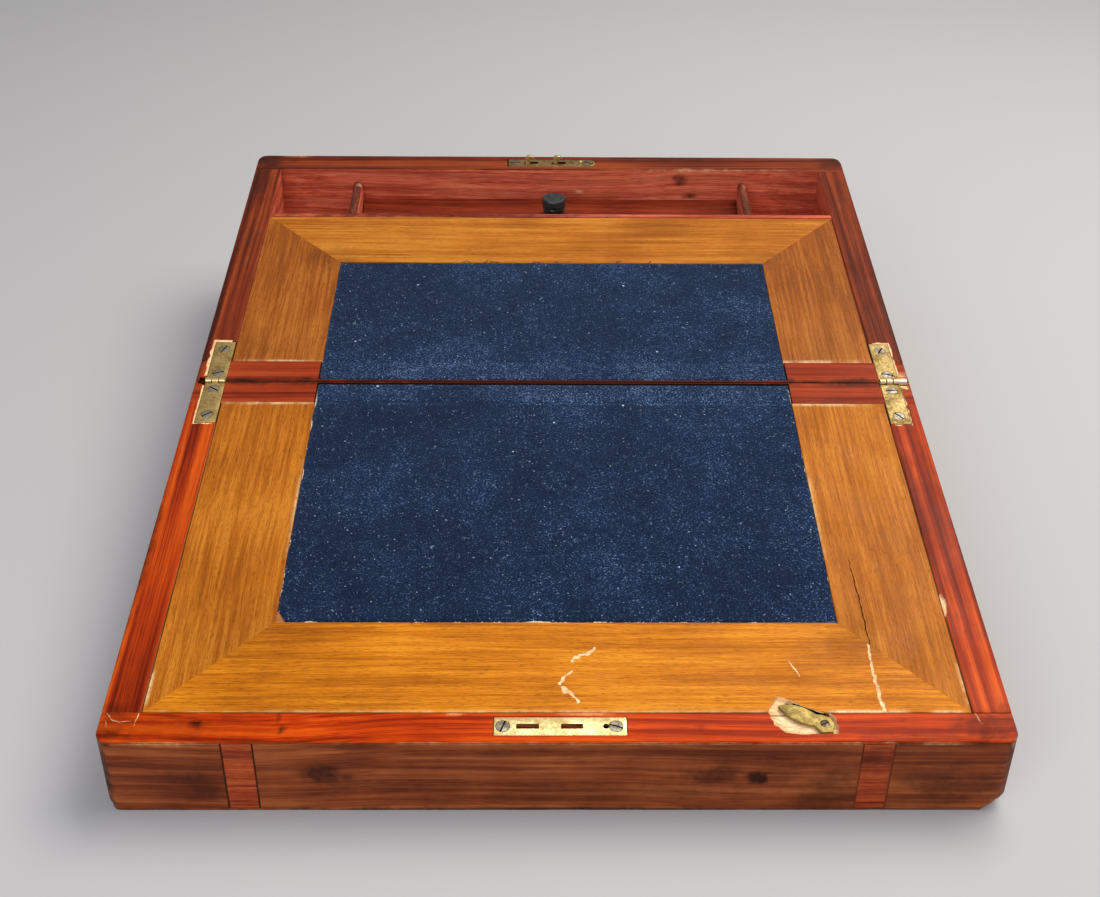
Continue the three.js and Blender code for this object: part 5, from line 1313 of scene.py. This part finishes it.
# ------------------------------------------------------------------ inside
def build_inside():
    """Bottom, lid top, ledges, the trough with its partition, floor, dividers and cleats, and the loose tray."""
    for name, material, slot, body in (("base_bottom", plain_wood, "plain_wood", "base"),
                                       ("lid_top_board", walnut, "walnut", "lid"),
                                       ("trough_floor", trough_wood_painted_light, "trough", "base"),
                                       ("tray_cleat_left", plain_wood, "plain_wood", "base"),
                                       ("tray_cleat_right", plain_wood, "plain_wood", "base")):
        low, high = span(name)
        if name == "lid_top_board":
            low, high = low - (0.28, 0.28, 0), high + (0.28, 0.12, 0)
        board = plain_board(name, low, high, material, radius=0.15 if name == "lid_top_board" else 0.4)
        if name == "lid_top_board":
            board.data.materials.append(plain_wood)
            pick_faces(board, lambda centres, normals: normals[:, 2] > 0.5)
            cut_away(board, [top_groove(-1), top_groove(1)])
        set_up(board, body, [name], "x", 12.3 + low[2] * 0.01)
    for body, half in HALVES:
        end = (BASE_INNER_Y - 49 - 3.8) if half > 0 else LID_INNER_Y - 0.5
        v = sorted((half * along(SEAM_Y + 0.15), half * along(end)))
        for label, side in SIDES:
            x = both(INNER_X - 6.3, INNER_X - 0.3, side)
            ledge = plain_board(f"{body}_ledge_{label}", (x[0], v[0], -12.8), (x[1], v[1], -6.85), plain_wood,
                                slope=True)
            set_up(ledge, body, [f"{body}_ledge_{label}"], "y", 14.1 + side + half * 0.3)
    low, high = span("trough_partition")
    floor = low[2]
    partition = upright_board("trough_partition", (-INNER_X, INNER_X), (low[1], high[1]), [trough_wood_painted_light], lambda c,
                              n: np.zeros(len(c)), (2.4, 1.0, 3), wear=0.35, seed=51, floor=floor)
    mark(partition, "stain_and_shade", [((-60, 153, 82), (110, 4, 2), 0.75), ((100, 153, 82), (50, 4, 2), 0.25)])
    set_up(partition, "base", ["trough_partition"], "x", 15.7)
    for label, side in SIDES:
        name = f"trough_divider_{label}"
        low, high = span(name)
        set_up(divider(name, low, high), "base", [name], "y", 16.9 + side)
    set_up(pen_tray(), "pen_tray", ["pen_tray"], "x", 18.3)


def divider(name, low, high):
    """A round-topped board along the trough: its end view is a half circle on a rectangle, its foot cut off level."""
    radius = (high[0] - low[0]) / 2 - 0.05
    centre = (high[0] + low[0]) / 2
    top = -7.6 - radius
    a = np.linspace(0, math.pi, 15)
    outline = np.vstack([[(centre - radius, -52), (centre + radius, -52)],
                         np.stack([centre + radius * np.cos(a), top + radius * np.sin(a)], axis=1)])
    v0, v1 = along(low[1]) - 6, along(high[1]) - 0.9
    board = plate(name, outline, -v1, -v0, 0, [shaded_divider_wood, trough_wood_painted_light], levels=np.arange(-v1 + 2, -v0, 2))

    def stand(points):
        placed = from_slope(np.stack([points[:, 0], -points[:, 2], points[:, 1]], axis=1))
        placed[:, 1] = np.clip(placed[:, 1], low[1], high[1])
        placed[:, 2] = np.maximum(placed[:, 2], low[2])
        return placed + 0.12 * soft_noise(placed, 9, 33)[:, None] * (1, 0, 0)
    move_mesh(board, stand)
    # the tops take the darker wood as painted shade, and the sides the trough's paler wood
    pick_faces(board, lambda centres, normals: normals[:, 2] < 0.4)
    mark(board, "worn", [((centre, low[1] + 1, 74), (3, 1.6, 3), 0.9),
                         ((centre + 1, high[1] - 3, 79), (2, 1.6, 2), 0.5)], 37)
    return board


def pen_tray():
    """The loose tray: a bar scooped along its length by a parabola, with a round hole for the ink bottle."""
    low, high = span("pen_tray")
    middle, reach = (low[1] + high[1]) / 2, (high[1] - low[1]) / 2 - 2
    t = np.linspace(1, -1, 25)
    scoop = np.stack([middle + reach * t, high[2] - 8 * (1 - t * t)], axis=1)
    soft = [(high[1], high[2] - 0.6), (high[1] - 0.6, high[2])], [(low[1] + 0.6, high[2]), (low[1], high[2] - 0.6)]
    outline = np.vstack([[(low[1], low[2]), (high[1], low[2])], soft[0], scoop, soft[1]])
    tray = plate("pen_tray", outline, low[0], high[0], 0, [shaded_tray_wood], levels=np.arange(low[0] + 3, high[0], 3))
    move_mesh(tray, lambda p: np.stack([p[:, 2], p[:, 0], p[:, 1]], axis=1))
    bottle = (span("ink_bottle")[0] + span("ink_bottle")[1]) / 2
    hole = turned("hole", [(0, -30), (13.2, -30), (13.2, 30), (0, 30)], 48, [dark_wood],
                  (bottle[0], bottle[1], high[2]))
    cut_away(tray, [hole])
    mark(tray, "stain_and_shade", [((x, middle, high[2] - 6), (28, 14, 6), 0.45) for x in (-60, 40, 90)], 53)
    return tray


def build_ink():
    """The ink bottle and its capped stopper."""
    low, high = span("ink_bottle")
    centre = np.array([(low[0] + high[0]) / 2, (low[1] + high[1]) / 2, low[2]])
    turn = np.linspace(0, math.pi / 2, 6)
    foot = [(12 - 1.2 * (1 - math.sin(a)), 1.2 - 1.2 * math.cos(a)) for a in turn]
    shoulder = [(12 - 6.2 * (1 - math.cos(a)) , 31.5 + 6.3 * math.sin(a)) for a in turn]
    outer = [*foot, *shoulder, (5.8, 41.8), (6.5, 42.1), (6.6, 42.9), (6.2, 43.5)]
    inner = [(4.0, 43.5), (3.8, 43.2), (3.8, 37.4), (9.4, 30.5), (9.8, 29), (9.8, 4.0), (9.0, 3.2), (0, 3.2)]
    bottle = turned("ink_bottle", [(0, 0.5), (8, 0.1), *outer, *inner], 64, [glass], centre)
    set_up(bottle, "ink_bottle", ["ink_bottle"])
    cap = [(0, 37.8), (3.3, 37.8), (3.5, 38.1), (3.5, 43.75), (6.2, 43.75), (6.5, 44.0), (6.85, 45.2), (7.0, 47.6),
           (6.9, 48.4), (6.5, 48.9), (5.4, 49.15), (4.8, 49.0), (3.2, 49.1), (0, 49.15)]
    stopper = turned("ink_stopper", cap, 64, [rubber], centre)
    set_up(stopper, "ink_stopper", ["ink_stopper"])


# ------------------------------------------------------------------ metal
def screw(name, body, x, v, turn, top=RIM, finish=None, size=1.0):
    """A slotted countersunk screw: a turned cone and shank under a slightly domed head, its slot cut across."""
    profile = [(0, -9), (0.5, -8.6), (1.15, -7), (1.15, -1.9), (2.58, -0.35), (2.68, -0.12), (2.6, 0.0), (1.8, 0.07),
               (0.9, 0.1), (0, 0.11)]
    head = turned(name, np.array(profile) * size, 40, [finish or steel])
    slot = plate("slot", box_outline(-4, 4, -0.36 * size, 0.36 * size), -0.65 * size, 1, 0, [grimed_steel])
    angle = math.radians(turn)
    move_mesh(slot, lambda p: np.stack([p[:, 0] * math.cos(angle) - p[:, 1] * math.sin(angle),
                                        p[:, 0] * math.sin(angle) + p[:, 1] * math.cos(angle), p[:, 2]], axis=1))
    cut_away(head, [slot])
    move_mesh(head, lambda p: from_slope(p + (x, v, top)))
    set_up(head, body, [name])


def ring(name, radius, bore, x0, x1, materials):
    """One knuckle: a round tube about the hinge line with soft edges, its section a closed loop."""
    e = 0.18
    loop = [(bore, x0), (radius - e, x0), (radius, x0 + e), (radius, x1 - e), (radius - e, x1), (bore, x1)]
    loop = np.array(loop)
    n, segments = len(loop), 36
    a = np.linspace(0, 2 * math.pi, segments, endpoint=False)
    points = np.stack([np.outer(loop[:, 0], np.cos(a)), np.outer(loop[:, 0], np.sin(a)),
                       np.repeat(loop[:, 1:], segments, 1)], -1)
    i, j = np.meshgrid(np.arange(n), np.arange(segments), indexing="ij")
    at = lambda p, q: (p % n) * segments + q % segments
    quads = np.stack([at(i, j), at(i, j + 1), at(i + 1, j + 1), at(i + 1, j)], axis=-1).reshape(-1, 4)
    return across_hinge(mesh_piece(name, points.reshape(-1, 3), quads, materials))


def build_hinges():
    """Two brass butt hinges: leaves let into the rims, three knuckles each round a pin, and eight screws."""
    turns = iter((20, 65, -35, 40, -15, 62, 5, -50))
    step = (LEAF_X[1] - LEAF_X[0] + 0.3) / 3
    for label, side in SIDES:
        for body, half in HALVES:
            name = f"hinge_leaf_{body}_{label}"
            x = both(*LEAF_X, side)
            v = sorted((half * 1.9, half * LEAF_LENGTH))
            leaf = plate("leaf", box_outline(*x, *v, 0.35), RIM - 1.5, RIM, 0.22, [brass])
            parts = [move_mesh(leaf, from_slope)]
            for k in (0, 2) if half > 0 else (1,):
                start = LEAF_X[0] + k * step
                stop = BARREL_END[side] if k == 2 else start + step - 0.3
                run = both(start, min(stop, LEAF_X[1]), side)
                tongue = plate("tongue", box_outline(*run, *sorted((half * 0.9, half * 2.6))), RIM - 1.45, RIM - 0.05,
                               0.1, [brass])
                parts += [move_mesh(tongue, from_slope),
                          ring("knuckle", KNUCKLE, 0.8, *both(start, stop, side), [bright_brass])]
            for spot in HINGE_SCREWS:
                middle = side * (LEAF_X[0] + LEAF_X[1]) / 2
                cut_away(parts[0], [screw_sink(middle, half * spot, RIM)])
                end = "inner" if spot == HINGE_SCREWS[0] else "outer"
                screw(f"hinge_screw_{body}_{label}_{end}", body, middle, half * spot, next(turns))
            set_up(joined(name, parts), body, [name])
        low, high = span(f"hinge_pin_{label}")
        pin = turned("pin", [(0, low[0]), (0.5, low[0]), (0.66, low[0] + 0.2), (0.66, high[0] - 0.2), (0.5, high[0]),
                             (0, high[0])], 24, [bright_brass])
        pin.name = f"hinge_pin_{label}"
        set_up(across_hinge(pin), "base", [f"hinge_pin_{label}"])


def build_lock():
    """Lock plate with its stud, hook bolt, strike plate, escutcheon and their screws."""
    body = plate("lock_plate", lock_outline(), RIM - 1.5, RIM, 0.2, [shaded_brass])
    move_mesh(body, from_slope)
    cuts = [block((x - 0.5, LOCK_V - 1.2, -5), (x + 7.5, LOCK_V + 1.2, 5), dark_wood) for x in HOOKS]
    cut_away(body, cuts + [screw_sink(x, LOCK_V, RIM) for x in LOCK_SCREWS])
    stud = turned("stud", [(0, -1.6), (1.1, -1.6), (1.1, 0.95), (0.95, 1.25), (0.5, 1.35), (0, 1.37)], 28,
                  [bright_brass])
    move_mesh(stud, lambda p: from_slope(p + (STUD_X, LOCK_V, RIM)))
    set_up(joined("lock_plate", [body, stud]), "base", ["lock_plate"])
    for (label, _), x, turn in zip(SIDES, LOCK_SCREWS, (15, -30)):
        screw(f"lock_screw_{label}", "base", x, LOCK_V, turn, finish=dirty_steel)

    a = np.linspace(0, math.pi, 13)
    parts = []
    for x in HOOKS:
        crown = np.stack([x + 2.6 + 2.6 * np.cos(a), 2.7 + 2.1 * np.sin(a)], axis=1)
        outline = np.vstack([[(x, -10), (x + 3, -10), (x + 3, 2.1), (x + 5.0, 2.1)], crown])
        parts.append(plate("hook", outline, -0.9, 0.9, 0.3, [bright_brass], under=0.3))
    parts.append(plate("bar", box_outline(HOOKS[0], HOOKS[1] + 7, -11, -5, 0.3), -0.88, 0.88, 0.1, [iron]))
    bolt = joined("lock_hook_bolt", parts)
    move_mesh(bolt, lambda p: from_slope(np.stack([p[:, 0], LOCK_V - p[:, 2], p[:, 1]], axis=1)))
    set_up(bolt, "lock_bolt", ["lock_hook_bolt"])

    low, high = span("strike_plate")
    plate_body = plate("strike_plate", box_outline(low[0], high[0], -LOCK_V - 4.4, -LOCK_V + 4.4, 0.3), RIM - 1.5,
                       RIM, 0.22, [highlit_strike_brass])
    move_mesh(plate_body, from_slope)
    cuts = [block((x0, -LOCK_V - 1.2, -5), (x1, -LOCK_V + 1.2, 5), highlit_strike_brass) for x0,
            x1 in ((-16.1, -7.4), (1.0, 9.4))]
    hole = turned("hole", [(0, -5), (1.2, -5), (1.2, 5), (0, 5)], 28, [shaded_brass])
    move_mesh(hole, lambda p: from_slope(p + (STUD_X, -LOCK_V, 0)))
    cut_away(plate_body, [*cuts, hole] + [screw_sink(x, -LOCK_V, RIM) for x in STRIKE_SCREWS])
    set_up(plate_body, "lid", ["strike_plate"])
    for (label, _), x, turn in zip(SIDES, STRIKE_SCREWS, (70, -20)):
        screw(f"strike_screw_{label}", "lid", x, -LOCK_V, turn)

    oval = plate("keyhole_escutcheon", oval_outline(6, 10), HALF_DEPTH - 1.2, HALF_DEPTH, 0.25, [brass])
    cut_away(oval, [plate("key", key_outline(), HALF_DEPTH - 5, HALF_DEPTH + 5, 0, [dark_wood])])
    set_up(move_mesh(oval, facing_out), "base", ["keyhole_escutcheon"])


def build_latch():
    """The turn latch: a pointed oval blade from a lopsided head, filed by hand with a broad bevel."""
    def bow(start, over, end):
        t = np.linspace(0, 1, 18)[1:-1, None]
        return (1 - t) ** 2 * np.array(start) + 2 * t * (1 - t) * np.array(over) + t ** 2 * np.array(end)
    tip, neck, notch = (-19.0, 0.2), (-4.6, 2.9), (-3.55, -2.5)
    head = [(0.3, -4.5), (4.2, -2.3), (3.4, 1.4), (0.9, 3.8), (-2.1, 3.8)]
    outline = np.vstack([[notch], head, [neck], bow(neck, (-13.6, 5.9), tip), [tip], bow(tip, (-11.5, -5.3), notch)])
    latch = plate("flap_latch", outline, RIM - 1.6, RIM - 0.2, 0.4, [latch_brass], steps=3)
    cos, sin = math.cos(LATCH_TURN), math.sin(LATCH_TURN)
    move_mesh(latch, lambda p: from_slope(np.stack([p[:, 0] * cos + p[:, 1] * sin + LATCH_PIVOT[0],
                                                    p[:, 1] * cos - p[:, 0] * sin + LATCH_PIVOT[1], p[:, 2]],
                                                   axis=1)))
    cut_away(latch, [screw_sink(*LATCH_PIVOT, RIM - 0.2, size=LATCH_SCREW)], smooth_angle=25)
    set_up(latch, "latch", ["flap_latch"])
    screw("latch_screw", "lid", *LATCH_PIVOT, 25, RIM - 0.2, dirty_steel, LATCH_SCREW)


set_stage()
build_walls()
build_bands()
build_flaps()
build_velvet()
build_threads()
build_inside()
build_ink()
build_hinges()
build_lock()
build_latch()
# the hidden lock case keeps its own mesh
lock_case = bpy.data.objects["lock_case"].data
lock_case.materials.clear()
lock_case.materials.append(iron)
